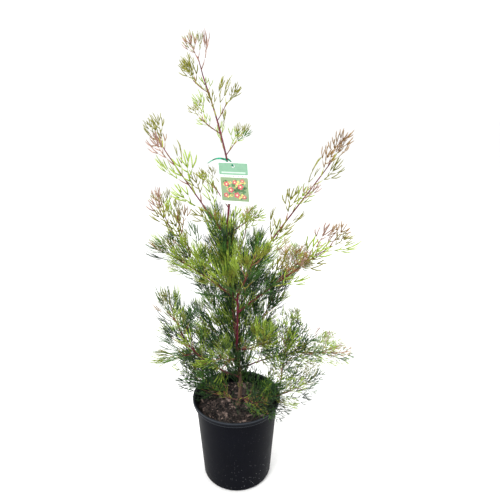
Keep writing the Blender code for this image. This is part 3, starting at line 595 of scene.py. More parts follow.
def tube(line, sides, relief=0.0, collar=0.0, phase=0.0):
    """Closed tapering limb with low ridges along it and a collar where it leaves its parent."""
    ways = tangents(line.points)
    side = cross_frame(ways[0])[0]
    turns = 2 * pi * np.arange(sides) / sides
    rings = []
    for centre, way, radius, place in zip(line.points, ways, line.radii, line.places):
        side = unit(side - way * side.dot(way))
        up = np.cross(side, way)
        wave = (np.sin(3 * turns + 130 * place + phase) + np.sin(5 * turns - 310 * place + 2 * phase)
                + 0.8 * np.sin(2 * turns + 900 * place + phase) + 0.7 * sin(420 * place + phase))
        reach = radius + relief * wave / 3 + collar * exp(-place / 0.004)
        rings.append(centre + (reach * np.cos(turns))[:, None] * side
                     + (reach * np.sin(turns))[:, None] * up)
    return closed(rings, line.points[[0, -1]])


def turned(profile, sides):
    """Closed round body from a profile of (radius, height) that starts and ends on the axis."""
    turns = 2 * pi * (np.arange(sides) + 0.5) / sides
    rings = [np.stack([r * np.cos(turns), r * np.sin(turns), np.full(sides, z)], axis=1)
             for r, z in profile[1:-1]]
    return closed(rings, np.array([(0.0, 0.0, profile[0][1]), (0.0, 0.0, profile[-1][1])]))


def strap(points, width, thickness, turns=0.0):
    """Closed strap with rounded edges along a line, its width upright and then twisted."""
    points = np.array(points)
    around = 2 * pi * np.arange(STRAP_SIDES) / STRAP_SIDES
    rings = []
    for k, (centre, way) in enumerate(zip(points, tangents(points))):
        across = unit(np.cross(way, (0, 0, 1)))
        high = np.cross(across, way)
        spin = 2 * pi * turns * k / len(points)
        across, high = across * cos(spin) + high * sin(spin), high * cos(spin) - across * sin(spin)
        rings.append(centre + (width / 2 * np.cos(around))[:, None] * high
                     + (thickness / 2 * np.sin(around))[:, None] * across)
    return closed(rings, points[[0, -1]])


def cut(item, cutter):
    """Cuts one object out of another and applies it."""
    change = item.modifiers.new("Cut", "BOOLEAN")
    change.operation = "DIFFERENCE"
    change.object = cutter
    depsgraph = bpy.context.evaluated_depsgraph_get()
    mesh = bpy.data.meshes.new_from_object(item.evaluated_get(depsgraph))
    item.modifiers.clear()
    item.data = mesh
    bpy.data.objects.remove(cutter)


def rounded(corners, radius, steps=5):
    """Profile points with each inner corner rounded."""
    points = [corners[0]]
    for before, corner, after in zip(corners, corners[1:], corners[2:]):
        b, c, a = (np.array(p, float) for p in (before, corner, after))
        room = min(radius, np.linalg.norm(b - c) * 0.48, np.linalg.norm(a - c) * 0.48)
        start = c + unit(b - c) * room
        end = c + unit(a - c) * room
        for k in range(steps + 1):
            t = k / steps
            points.append(tuple((1 - t) ** 2 * start + 2 * t * (1 - t) * c + t * t * end))
    return points + [corners[-1]]


def pot_profile():
    """Outer side from the rim to the foot, and the inside from the floor back up."""
    ring_top = POT_HEIGHT - RIM_DEPTH
    shoulder = ring_top - RING_DEPTH
    outer = [(RIM_RADIUS - 0.0018, POT_HEIGHT), (RIM_RADIUS, POT_HEIGHT), (RIM_RADIUS, ring_top),
             (RING_RADIUS, ring_top), (RING_RADIUS, shoulder), (SHOULDER_RADIUS, shoulder - 0.001)]
    outer = rounded(outer, 0.0014)
    slope = (SHOULDER_RADIUS - FOOT_RADIUS) / (shoulder - FOOT_ROUND)
    for height in (0.16, 0.12, 0.08, 0.04):
        outer.append((FOOT_RADIUS + slope * (height - FOOT_ROUND), height))
    for turn in range(0, 91, 10):
        outer.append((FOOT_RADIUS - FOOT_ROUND * (1 - cos(radians(turn))),
                      FOOT_ROUND * (1 - sin(radians(turn)))))
    inner = [(FOOT_RADIUS - FOOT_ROUND - POT_WALL, POT_WALL), (FOOT_RADIUS - POT_WALL, FOOT_ROUND),
             (SHOULDER_RADIUS - POT_WALL, shoulder - 0.001),
             (RIM_RADIUS - 2 * POT_WALL, POT_HEIGHT - 0.001)]
    return outer, inner


class GREVILLEA_OT_pot(bpy.types.Operator):
    """Make the moulded pot with its rolled rim and drain holes"""

    bl_idname = "grevillea.pot"
    bl_label = "Pot"

    def execute(self, context):
        outer, inner = pot_profile()
        profile = [(0.0, 0.0)] + outer[::-1] + inner[::-1] + [(0.0, POT_WALL)]
        body = Gather()
        body.add(*turned(profile, POT_SIDES))
        plastic = moulded_polypropylene(context.scene.grevillea_wood)
        pot = body.build("moulded_pot", plastic, POT_CREASE)
        drains = Gather()
        reach = FOOT_RADIUS - FOOT_ROUND * 0.55
        for i in range(DRAIN_HOLES):
            turn = 2 * pi * (i + 0.5) / DRAIN_HOLES - pi / 2
            middle = np.array((reach * cos(turn), reach * sin(turn), FOOT_ROUND * 0.30))
            lean = radians(125)
            way = np.array((sin(lean) * cos(turn), sin(lean) * sin(turn), cos(lean)))
            half = way * FOOT_ROUND * 0.8
            drains.add(*tube(Line([middle - half, middle, middle + half], [DRAIN_RADIUS] * 3), 20))
        cut(pot, drains.build("drains", plastic))
        pot.data.set_sharp_from_angle(angle=radians(POT_CREASE))
        settle(pot, "pot_plastic", "pot")
        return {"FINISHED"}


def crumb(rng, middle, size, squash):
    """One torn chip of bark: a box with every corner pulled about, lying at its own slant."""
    corners = np.array([(x, y, z) for x in (-1, 1) for y in (-1, 1) for z in (-1, 1)], float)
    corners *= 1 + np.array([[rng.uniform(-0.35, 0.35) for _ in range(3)] for _ in range(8)])
    corners *= np.array((size, size * rng.uniform(0.25, 0.55), size * squash)) / 2
    spin = Matrix.Rotation(rng.uniform(0, 2 * pi), 3, "Z")
    spin = spin @ Matrix.Rotation(rng.gauss(0, 0.35), 3, "X")
    spin = spin @ Matrix.Rotation(rng.gauss(0, 0.3), 3, "Y")
    faces = [(0, 1, 3), (0, 3, 2), (4, 6, 7), (4, 7, 5), (0, 4, 5), (0, 5, 1),
             (2, 3, 7), (2, 7, 6), (0, 2, 6), (0, 6, 4), (1, 5, 7), (1, 7, 3)]
    return corners @ np.array(spin).T + middle, faces


def swell(x, y):
    """Height of the low waves in the surface of the mix."""
    return 0.0016 * np.sin(x * 95) * np.cos(y * 80 + 1)


class GREVILLEA_OT_mix(bpy.types.Operator):
    """Make the potting mix and the bark chips that lie on it"""

    bl_idname = "grevillea.mix"
    bl_label = "Potting mix"

    def execute(self, context):
        colours = context.scene.grevillea_wood
        rng = random.Random(context.scene.grevillea_plant.seed)
        inner = pot_profile()[1]
        share = (SOIL_LEVEL - inner[1][1]) / (inner[2][1] - inner[1][1])
        edge = inner[1][0] + share * (inner[2][0] - inner[1][0]) - FIT_GAP
        rings = [(edge * k / MIX_RINGS, SOIL_LEVEL) for k in range(MIX_RINGS, 0, -1)]
        profile = [(0.0, POT_WALL + FIT_GAP), (inner[0][0] - FIT_GAP, POT_WALL + FIT_GAP),
                   (inner[1][0] - FIT_GAP, inner[1][1])] + rings + [(0.0, SOIL_LEVEL)]
        vertices, triangles = turned(profile, MIX_SIDES)
        x, y, z = vertices.T
        top = (z > SOIL_LEVEL - 1e-6) & (np.hypot(x, y) < edge * 0.985)
        lumps = np.array([rng.gauss(0, 1) for _ in vertices])
        vertices[:, 2] += np.where(top, 0.0008 * lumps + swell(x, y), 0.0)
        body = Gather()
        body.add(vertices, triangles)
        fine = composted_bark("composted_bark_fine", colours.mix, 0.004)
        settle(body.build("mix_body", fine), "bark_mix", "potting_mix")
        names, factors, shares = zip(*CHIP_KINDS)
        chips = {name: Gather() for name in names}
        for i in range(CHIP_COUNT):
            turn = rng.uniform(0, 2 * pi)
            reach = (edge - 0.005) * rng.random() ** 0.5
            if reach < CHIP_FREE:
                continue
            size = 0.0030 + 0.0095 * rng.random() ** 2.0
            x, y = reach * cos(turn), reach * sin(turn)
            place = (x, y, SOIL_LEVEL + swell(x, y) + rng.uniform(-0.0002, 0.0022))
            name = rng.choices(names, shares)[0]
            chips[name].add(*crumb(rng, place, size, rng.uniform(0.18, 0.45)))
        for name, factor in zip(names, factors):
            material = composted_bark("composted_bark_" + name, shade(colours.chips, factor), 0.0035)
            settle(chips[name].build("bark_chips_" + name, material, 25), "bark_mix")
        return {"FINISHED"}


def smooth_point(stations, place):
    """Point of the smooth curve through the stations; place counts stations from 0."""
    last = len(stations) - 1
    index = min(int(place), last - 1)
    t = place - index
    a, b, c, d = (np.array(stations[min(max(index + k, 0), last)]) for k in (-1, 0, 1, 2))
    return 0.5 * (2 * b + (c - a) * t + (2 * a - 5 * b + 4 * c - d) * t ** 2
                  + (3 * b - a - 3 * c + d) * t ** 3)


def trunk_line():
    """Centre line of the trunk from the soil to the leader's tip, with its flare."""
    stations = [(x, y, z) for z, x, y in TRUNK_STATIONS]
    points = [smooth_point(stations, (len(stations) - 1) * i / 180) for i in range(181)]
    points = [points[0] - np.array((0, 0, 0.004))] + points
    heights, widths = zip(*TRUNK_TAPER)
    radii = [np.interp(z, heights, widths) + FLARE * exp(-max(0.0, z - SOIL_LEVEL) / FLARE_HEIGHT)
             for x, y, z in points]
    return Line(points, radii)


def bent_points(start, heading, swing, rise, lift, length, steps):
    """Points of a line whose heading and rise, in degrees, turn evenly along its length."""
    shares = (np.arange(steps) + 0.5) / steps
    heading = np.radians(heading + swing * shares)
    rise = np.radians(rise + lift * shares)
    level = np.cos(rise)
    ways = np.stack([level * np.cos(heading), level * np.sin(heading), np.sin(rise)], axis=1)
    return np.concatenate([[start], start + np.cumsum(ways * length / steps, axis=0)])


def grow_limbs():
    """Centre line of every limb, from the trunk outwards."""
    grown = {"trunk": trunk_line()}
    for limb in (SECOND_STEM,) + LIMBS + SHOOTS:
        parent = grown[limb.parent]
        place = parent.length * limb.at
        if limb.parent in ("trunk", "second_stem"):
            place = float(np.interp(limb.at, parent.points[:, 2], parent.places))
        points = bent_points(parent.at(place)[0], limb.heading, limb.swing, limb.rise, limb.lift,
                             limb.length, max(6, int(limb.length / 0.004)))
        tip = limb.radius * 0.85 if limb is SECOND_STEM else TIP_RADIUS
        grown[limb.name] = Line(points, np.linspace(limb.radius, tip, len(points)))
    return grown


class GREVILLEA_OT_wood(bpy.types.Operator):
    """Make the trunk, the second stem and the boughs with their bark"""

    bl_idname = "grevillea.wood"
    bl_label = "Trunk and boughs"

    def execute(self, context):
        colours = context.scene.grevillea_wood
        relief = context.scene.grevillea_plant.bark_relief
        grown = grow_limbs()
        trunk = Gather()
        trunk.add(*tube(grown["trunk"].part(0, grown["trunk"].length, 0.003), 24, relief))
        fissured = grown_bark("fissured_bark", colours, 0.26, 0.50)
        settle(trunk.build("trunk_bark", fissured), "young_bark", "trunk")
        stems = Gather()
        stems.add(*tube(grown["second_stem"], 16, relief * 0.5, 0.0008))
        for number, limb in enumerate(LIMBS):
            line = grown[limb.name]
            stems.add(*tube(line.part(0, line.length * limb.bare), 12, relief * 0.35, 0.0006, number))
        nodes = ["second_stem"] + ["bough_" + limb.name for limb in LIMBS]
        smooth = grown_bark("smooth_bark", colours, 0.10, 0.30)
        settle(stems.build("crimson_boughs", smooth), "crimson_wood", *nodes)
        return {"FINISHED"}


def blade(points, widths, lean):
    """One tapering lobe with a keel under it, closed at its base and drawn to a point."""
    points = np.array(points, float)
    ways = tangents(points)
    up = np.array((0.0, sin(lean), cos(lean)))
    sides = np.cross(ways, up)
    sides /= np.linalg.norm(sides, axis=1, keepdims=True)
    under = np.cross(sides, ways)
    half = np.array(widths)[:, None] / 2
    rings = np.stack([points - sides * half, points + sides * half, points - under * half * 1.1],
                     axis=1)
    vertices = np.concatenate([rings[:-1].reshape(-1, 3), points[-1:]])
    count = len(points) - 1
    last = 3 * (count - 1)
    tip = 3 * count
    ends = [(0, 2, 1)] + [(last + k, last + (k + 1) % 3, tip) for k in range(3)]
    return vertices, np.concatenate([ring_triangles(count, 3), np.array(ends)])


class LeafShape:
    """One divided leaf of length 1 in its own space: x along it, y across it, z up."""

    def __init__(self, kind, rng):
        self.stalk = Gather()
        self.lobes = Gather()
        self.tips = []
        self.rng = rng
        self.kind = kind
        top = 1 - kind.lobe_length * 0.92
        wander = rng.uniform(-0.04, 0.04)
        thin = kind.lobe_width

        def along(x):
            return np.array((x, wander * sin(pi * x / top), 0.0))

        self.stalk.add(*blade([along(x) for x in (-0.02, kind.stalk * 0.5, kind.stalk)],
                              (thin * 1.4, thin * 1.2, thin * 1.1), 0.0))
        self.lobes.add(*blade([along(x) for x in (kind.stalk * 0.98, (kind.stalk + top) / 2, top)],
                              (thin * 1.2, thin * 1.1, thin), 0.0))
        self.fan(along(top), 0.0, 3, kind.lobe_length * 1.05)
        for i in range(kind.arms):
            share = i / (kind.arms - 1)
            side = 1 if i % 2 else -1
            root = along(kind.stalk + (top - kind.stalk) * share ** 0.9 * 0.94)
            angle = side * radians(kind.arm_angle * (1.08 - 0.36 * share) + rng.uniform(-6, 6))
            reach = kind.arm_length * (1.0 - 0.35 * share) * rng.uniform(0.85, 1.15)
            lift = rng.uniform(-0.10, 0.30)
            end = root + reach * np.array((cos(angle), sin(angle), lift))
            bend = root * 0.5 + end * 0.5 + np.array((-0.01, side * 0.008, 0.0))
            self.lobes.add(*blade([root, bend, end], (thin, thin * 0.95, thin * 0.9), 0.0))
            self.fan(end, angle * 0.72, kind.lobes, kind.lobe_length * (1.0 - 0.22 * share))

    def fan(self, root, angle, lobes, length):
        """Lobes that part at the end of an arm and turn towards the leaf's tip."""
        rng = self.rng
        spread = radians(self.kind.fan)
        for k in range(lobes):
            turn = angle + spread * (k - (lobes - 1) / 2) + radians(rng.uniform(-7, 7))
            reach = length * rng.uniform(0.72, 1.05)
            lift = rng.uniform(-0.15, 0.25)
            middle = root + 0.5 * reach * np.array((cos(turn), sin(turn), lift))
            ahead = turn * 0.70
            lift += self.kind.curl * 0.6
            end = middle + 0.5 * reach * np.array((cos(ahead), sin(ahead), lift))
            wide = self.kind.lobe_width
            near = middle * 0.35 + end * 0.65
            widths = (wide * 0.85, wide * 1.05, wide * 0.85, 0)
            self.lobes.add(*blade([root, middle, near, end], widths, rng.uniform(-0.5, 0.5)))
            self.tips.append(end)


Leaf = namedtuple("Leaf", "kind shape tint root axes length curl stalk")


class Crown:
    """Deals out the leaves and twigs of the whole crown and joins them into few pieces."""

    def __init__(self, plant, label):
        self.rng = random.Random(plant.seed)
        self.plant = plant
        self.leaves = []
        self.twigs = Gather()
        self.shoots = Gather()
        self.shapes = {name: [LeafShape(kind, self.rng) for _ in range(SHAPES_PER_KIND)]
                       for name, kind in LEAF_KINDS.items()}
        self.into_card = np.array(card_matrix().inverted())
        self.card_half = np.array((label.width / 2 + 0.002, label.height / 2 + 0.002))
        spare = 0.03 * (np.array(CAD_HIGH) - np.array(CAD_LOW)) + 0.008
        self.low = np.array(CAD_LOW) - spare
        self.high = np.array(CAD_HIGH) + spare

    def free(self, points):
        """True where no point is in the pot, in front of the label or outside the crown's reach."""
        x, y, z = points.T
        away = np.hypot(x, y)
        rim = (away > SHOULDER_RADIUS - 0.008) & (away < RIM_RADIUS + 0.004) & (z < POT_HEIGHT + 0.003)
        sunk = (z < SOIL_LEVEL + 0.004) & (away < RIM_RADIUS)
        if np.any(rim | sunk) or np.any(points < self.low) or np.any(points > self.high):
            return False
        local = points @ self.into_card[:3, :3].T + self.into_card[:3, 3]
        across, depth, along = local.T
        on_card = (np.abs(across) < self.card_half[0]) & (np.abs(along) < self.card_half[1])
        if np.any(on_card & (depth > -0.09) & (depth < 0.003)):
            return False
        return not any(np.any((x > left) & (x < right) & (y < 0) & (z > low) & (z < high))
                       for left, right, low, high in CLEAR_GAPS)

    def outward(self, way, turn, spread, lift):
        """Direction of a leaf or shoot that leaves a stem at a turn round it, bent upward."""
        side, up = cross_frame(way)
        angle = radians(spread + self.rng.uniform(-9, 9))
        out = cos(turn) * side + sin(turn) * up
        return unit(way * cos(angle) + out * sin(angle) + np.array((0, 0, lift)))

    def tint(self, flush, share, kind, height):
        """Tint of one leaf by how young its place on the limb is and how high in the crown: painted
        light and shade give higher leaves and leaves further out more of the bright tint and less of
        the deep one.
        """
        young = max(0.0, flush) * min(1.0, max(0.0, (share - 0.50) / 0.45))
        if kind == "young":
            young = max(young, 0.75)
        rng = self.rng
        if rng.random() < young * 0.60:
            return rng.choices(("bronze", "pink"), (0.58, 0.42))[0]
        if rng.random() < young * 0.8:
            return rng.choices(("olive", "bright", "bronze"), (0.50, 0.38, 0.12))[0]
        # Painted light and shade: leaves high in the crown or far out on a limb take more of the
        # bright and olive tints and less of the deep one, and leaves of limbs marked -1 mostly the
        # deep tint of painted shade.
        light = min(1.0, max(share * 0.9, (height - 0.50) / 0.14))
        grown = (0.52 - 0.40 * light, 0.32, 0.15 + 0.22 * light, 0.01 + 0.12 * light)
        return rng.choices(TINTS[:4], TINT_SHARES.get("shade" if flush < 0 else kind, grown))[0]

    def add_leaf(self, root, way, turn, spread, length, tint, kind):
        """One leaf, turned until it keeps to its space; left out where no turn does."""
        rng = self.rng
        rise = 0.08 if kind == "lace" else 0.30
        for attempt in range(LEAF_TRIES):
            aim = self.outward(way, turn + rng.uniform(-0.4, 0.4) * attempt, spread, rise)
            up = way - aim * way.dot(aim) + np.array((0, 0, 0.35)) - aim * 0.35 * aim[2]
            up = unit(up + 0.35 * np.array([rng.gauss(0, 0.5) for _ in range(3)]))
            side = unit(np.cross(up, aim))
            up = np.cross(aim, side)
            axes = np.stack([aim, side, up])
            size = length * rng.uniform(0.82, 1.15) * (1 - 0.05 * attempt)
            curl = LEAF_KINDS[kind].curl * rng.uniform(0.3, 1.4)
            shape = rng.randrange(SHAPES_PER_KIND)
            leaf = Leaf(kind, shape, tint, root, axes, size, curl, rng.random() < YELLOW_STALKS)
            tips = np.array(self.shapes[kind][shape].tips)
            if self.free(self.place(np.concatenate([tips, tips * 0.6]), leaf)):
                self.leaves.append(leaf)
                return

    @staticmethod
    def place(points, leaf):
        """Points of a leaf's own space set where the leaf grows, and curled."""
        bent = points.copy()
        bent[:, 2] += leaf.curl * points[:, 0] ** 2
        return leaf.root + leaf.length * bent @ leaf.axes

    def grow_shoot(self, root, way, turn, length, leaf_length, flush, along, kind):
        """One side shoot with leaves all round it and a tuft at its tip."""
        rng = self.rng
        for attempt in range(SHOOT_TRIES):
            aim = self.outward(way, turn + rng.uniform(-0.5, 0.5) * attempt, 44, 0.25)
            points = [np.array(root)]
            for i in range(SHOOT_STEPS):
                stray = 0.05 * np.array([rng.gauss(0, 1) for _ in range(3)])
                aim = unit(aim + np.array((0, 0, 0.07)) + stray)
                points.append(points[-1] + aim * length / SHOOT_STEPS)
            if self.free(np.array(points[1:])):
                break
        else:
            return
        line = Line(points, np.linspace(SHOOT_RADIUS, SHOOT_TIP_RADIUS, len(points)))
        self.shoots.add(*tube(line, 5, 0.0, 0.0002))
        count = max(3, int(length / self.plant.leaf_spacing))
        first = rng.uniform(0, 2 * pi)
        for i in range(count):
            share = (i + 0.6) / count
            place, heading = line.at(line.length * share)
            tint = self.tint(flush, along, kind, place[2])
            self.add_leaf(place, heading, first + GOLDEN_ANGLE * i, 46 - 14 * share,
                          leaf_length * (0.95 - 0.25 * share), tint, kind)
        end, heading = line.at(line.length)
        for k in range(2):
            tint = self.tint(flush, along, kind, end[2])
            self.add_leaf(end - heading * 0.001, heading, first + pi * k, 14, leaf_length * 0.75,
                          tint, kind)

    def grow_mass(self, limb, line):
        """Leaves and side shoots of one limb in golden-angle turns, and the stem of its mass."""
        rng = self.rng
        habit = HABITS[limb.habit]
        if limb.bare < 1:
            end = line.length * (0.96 if habit.kind == "comb" else 1.0)
            stem = line.part(max(0.0, line.length * limb.bare - 0.001), end)
            self.twigs.add(*tube(stem, 6, 0.00008))
        first = rng.uniform(0, 2 * pi)
        if habit.base:
            self.clothe(line, limb, HABITS["inner"], 0.06, habit.base, first)
        start = habit.start + (0.006 / line.length if limb in SHOOTS else 0.0)
        self.clothe(line, limb, habit, start, 0.93 if habit.kind == "comb" else 1.0, first)
        if limb.bare < 1:
            self.tuft(line, limb, habit, first)

    def clothe(self, line, limb, habit, low, high, first):
        """Leaves and side shoots on a limb between two shares of its length."""
        rng = self.rng
        start = line.length * low
        span = line.length * (high - low)
        count = max(2, int(span / habit.spacing))
        for i in range(count):
            share = (i + 0.5) / count
            root, way = line.at(start + span * share)
            along = (start + span * share) / line.length
            if limb in SHOOTS:
                along = 0.5 + 0.5 * along
            tint = self.tint(limb.flush, along, habit.kind, root[2])
            size = self.plant.leaf_length * habit.leaf * (1.08 - 0.34 * along)
            turn = first + GOLDEN_ANGLE * i
            self.add_leaf(root, way, turn, 50 - 14 * share, size, tint, habit.kind)
            if habit.shoot_every and i % habit.shoot_every == 1 and share < 0.93:
                reach = self.plant.shoot_length * rng.uniform(0.55, 1.25) * (1.0 - 0.55 * share)
                self.grow_shoot(root, way, turn + 2.1, reach, size * 0.86, limb.flush, along,
                                habit.kind)

    def tuft(self, line, limb, habit, first):
        """Leaves that stand together at the tip of a limb."""
        end, way = line.at(line.length * (0.95 if habit.kind == "comb" else 1.0))
        wide, count = (14, 2) if limb in SHOOTS else (0, 3 if habit.kind == "comb" else 4)
        for k in range(count):
            tint = self.tint(limb.flush, 1.0, habit.kind, end[2])
            spread = 14 + wide + 13 * (k % 3)
            self.add_leaf(end - way * 0.003 * (k + 1), way, first + GOLDEN_ANGLE * k, spread,
                          self.plant.leaf_length * 0.66 * habit.leaf, tint, habit.kind)

    def clothe_trunk(self, line, low, high, habit, flush):
        """Leaves straight on the trunk between two heights."""
        first = self.rng.uniform(0, 2 * pi)
        places = [float(np.interp(z, line.points[:, 2], line.places)) for z in (low, high)]
        count = int((places[1] - places[0]) / habit.spacing)
        for i in range(count):
            root, way = line.at(places[0] + (i + 0.5) * habit.spacing)
            share = i / count
            tint = self.tint(flush, share, habit.kind, root[2])
            self.add_leaf(root, way, first + GOLDEN_ANGLE * i, (46, 20)[i % 2],
                          self.plant.leaf_length * habit.leaf, tint, habit.kind)

    def joined(self, part, field, value):
        """One part of every leaf whose field has this value, as one set of arrays."""
        made = Gather()
        for kind, shapes in self.shapes.items():
            for number, shape in enumerate(shapes):
                pattern = getattr(shape, part)
                vertices = np.concatenate(pattern.vertices)
                triangles = np.concatenate(pattern.triangles)
                for leaf in self.leaves:
                    if (leaf.kind, leaf.shape, getattr(leaf, field)) == (kind, number, value):
                        made.add_many(self.place(vertices, leaf), triangles)
        return made


class GREVILLEA_OT_foliage(bpy.types.Operator):
    """Grow the leaves, side shoots and leaf stalks of every mass"""

    bl_idname = "grevillea.foliage"
    bl_label = "Foliage"

    def execute(self, context):
        scene = context.scene
        grown = grow_limbs()
        crown = Crown(scene.grevillea_plant, scene.grevillea_label)
        for limb in (SECOND_STEM,) + LIMBS + SHOOTS:
            crown.grow_mass(limb, grown[limb.name])
        for stretch in TRUNK_LEAVES:
            crown.clothe_trunk(grown["trunk"], *stretch)
        if not crown.leaves:
            raise RuntimeError("no leaf found room in the crown")
        wood = scene.grevillea_wood
        nodes = ["foliage_" + limb.name for limb in LIMBS + SHOOTS]
        skin = living_leaf("twig_skin", wood.young_bark, 0.5, 0.45)
        settle(crown.twigs.build("crimson_twigs", skin), "crimson_wood", *nodes)
        skin = living_leaf("shoot_skin", wood.twig, 0.5, 0.45)
        settle(crown.shoots.build("side_shoots", skin), "crimson_wood")
        stalks = (("yellow", True, wood.stalk), ("red", False, shade(wood.twig, 0.9)))
        for name, yellow, colour in stalks:
            skin = living_leaf("stalk_skin_" + name, colour, 0.48, 0.3)
            made = crown.joined("stalk", "stalk", yellow)
            settle(made.build("leaf_stalks_" + name, skin), "leaf_green")
        slots = {"deep": "leaf_deep_green", "bronze": "leaf_bronze", "pink": "leaf_bronze"}
        for tint in TINTS:
            skin = living_leaf("living_leaf_" + tint, getattr(scene.grevillea_leaves, tint))
            made = crown.joined("lobes", "tint", tint)
            settle(made.build("leaves_" + tint, skin), slots.get(tint, "leaf_green"))
        return {"FINISHED"}


def card_matrix():
    """Place of the card: its foot leans back to the leader and its right side is nearer."""
    return (Matrix.Translation(CARD_CENTRE) @ Matrix.Rotation(radians(CARD_YAW), 4, "Z")
            @ Matrix.Rotation(radians(CARD_PITCH), 4, "X"))


def prism(outline, front, back):
    """Closed plate in the card's own space, from an outline of (x, z) that is star-shaped."""
    outline = np.array(outline, float)
    count = len(outline)
    middle = outline.mean(axis=0)
    layers = [np.column_stack([p[:, 0], np.full(len(p), depth), p[:, 1]])
              for depth in (front, back) for p in (outline, middle[None, :])]
    vertices = np.concatenate(layers)
    first = np.arange(count)
    after = (first + 1) % count
    hub = np.full(count, count)
    other = count + 1
    triangles = [np.stack([first, after, hub], axis=1),
                 np.stack([after + other, first + other, hub + other], axis=1),
                 np.stack([first, first + other, after], axis=1),
                 np.stack([after, first + other, after + other], axis=1)]
    return vertices, np.concatenate(triangles)


def round_rectangle(low, high, radius):
    """Outline of a rectangle with round corners, in (x, z)."""
    (x0, z0), (x1, z1) = low, high
    outline = []
    for cx, cz, start in ((x1 - radius, z1 - radius, 0), (x0 + radius, z1 - radius, 90),
                          (x0 + radius, z0 + radius, 180), (x1 - radius, z0 + radius, 270)):
        for turn in range(0, 91, 15):
            angle = radians(start + turn)
            outline.append((cx + radius * cos(angle), cz + radius * sin(angle)))
    return outline


def blossom(x, z, radius, petals, depth):
    """Outline of a plain flower with round petals."""
    turns = np.linspace(0, 2 * pi, petals * 10, endpoint=False)
    reach = radius * (1 - depth + depth * np.abs(np.cos(turns * petals / 2)))
    return np.column_stack([x + reach * np.cos(turns), z + reach * np.sin(turns)])


def inlay(name, shapes, level, material):
    """Thin raised print on the card's front, as many layers high as its level."""
    made = Gather()
    front = -bpy.context.scene.grevillea_label.thickness / 2
    for outline in shapes:
        made.add(*prism(outline, front - PRINT_STEP * level, front + 0.00005))
    item = made.build(name, material, PLATE_CREASE)
    item.data.transform(card_matrix())
    return item


class GREVILLEA_OT_label(bpy.types.Operator):
    """Make the plant label with a plain flower print"""

    bl_idname = "grevillea.label"
    bl_label = "Label"

    def execute(self, context):
        sizes = context.scene.grevillea_label
        colours = context.scene.grevillea_print
        half, tall = sizes.width / 2, sizes.height / 2
        body = Gather()
        body.add(*prism(round_rectangle((-half, -tall), (half, tall), CARD_CORNER),
                        -sizes.thickness / 2, sizes.thickness / 2))
        card = body.build("label_card", printed_card("laminated_card", colours.card), PLATE_CREASE)
        card.data.transform(card_matrix())

        def panel(margin, low, high, radius):
            return [round_rectangle((margin - half, low), (half - margin, high), radius)]

        header = inlay("label_header", panel(0.0012, tall - 0.0250, tall - 0.0012, 0.0022), 1,
                       printed_card("printed_card_header", colours.header))
        for item in (card, header):
            bore = Gather()
            start = card_matrix() @ Vector((0, -0.004, tall - HOLE_DROP))
            end = card_matrix() @ Vector((0, 0.004, tall - HOLE_DROP))
            bore.add(*tube(Line([start, (start + end) / 2, end], [HOLE_RADIUS] * 3), 32))
            cut(item, bore.build("bore", item.data.materials[0]))
            item.data.set_sharp_from_angle(angle=radians(PLATE_CREASE))
        settle(card, "printed_card", "plant_label")
        settle(header, "printed_card")
        rng = random.Random(41)

        def scattered(count, small, large, petals, depth):
            made = []
            for _ in range(count):
                x = rng.uniform(-half + 0.0085, half - 0.0085)
                z = rng.uniform(-tall + 0.0125, tall - 0.036)
                made.append(blossom(x, z, rng.uniform(small, large), petals, depth))
            return made

        dots = [blossom(-0.018 + 0.009 * k, tall - 0.0275, 0.0014, 6, 0.1) for k in range(5)]
        prints = (
            ("ground", panel(0.0022, -tall + 0.0065, tall - 0.0300, 0.002), 1, "#7f9670"),
            ("leaf_tones", scattered(40, 0.0024, 0.0046, 3, 0.4), 2, "#4f7347"),
            ("light_tones", scattered(34, 0.0014, 0.0034, 4, 0.3), 3, "#c8c477"),
            ("petals", [blossom(x, z, r, 5, 0.45) for x, z, r in FLOWERS], 4, "#c45560"),
            ("flower_hearts", [blossom(x, z, r * 0.32, 8, 0.12) for x, z, r in FLOWERS], 5,
             "#e8d6a4"),
            ("dots", dots, 1, "#7d8a86"),
            ("stripe", panel(0.006, tall - 0.0215, tall - 0.0190, 0.0010), 2, "#bcd2c2"))
        for name, shapes, level, code in prints:
            ink = printed_card("printed_card_" + name, linear(code))
            settle(inlay("label_" + name, shapes, level, ink), "printed_card")
        return {"FINISHED"}


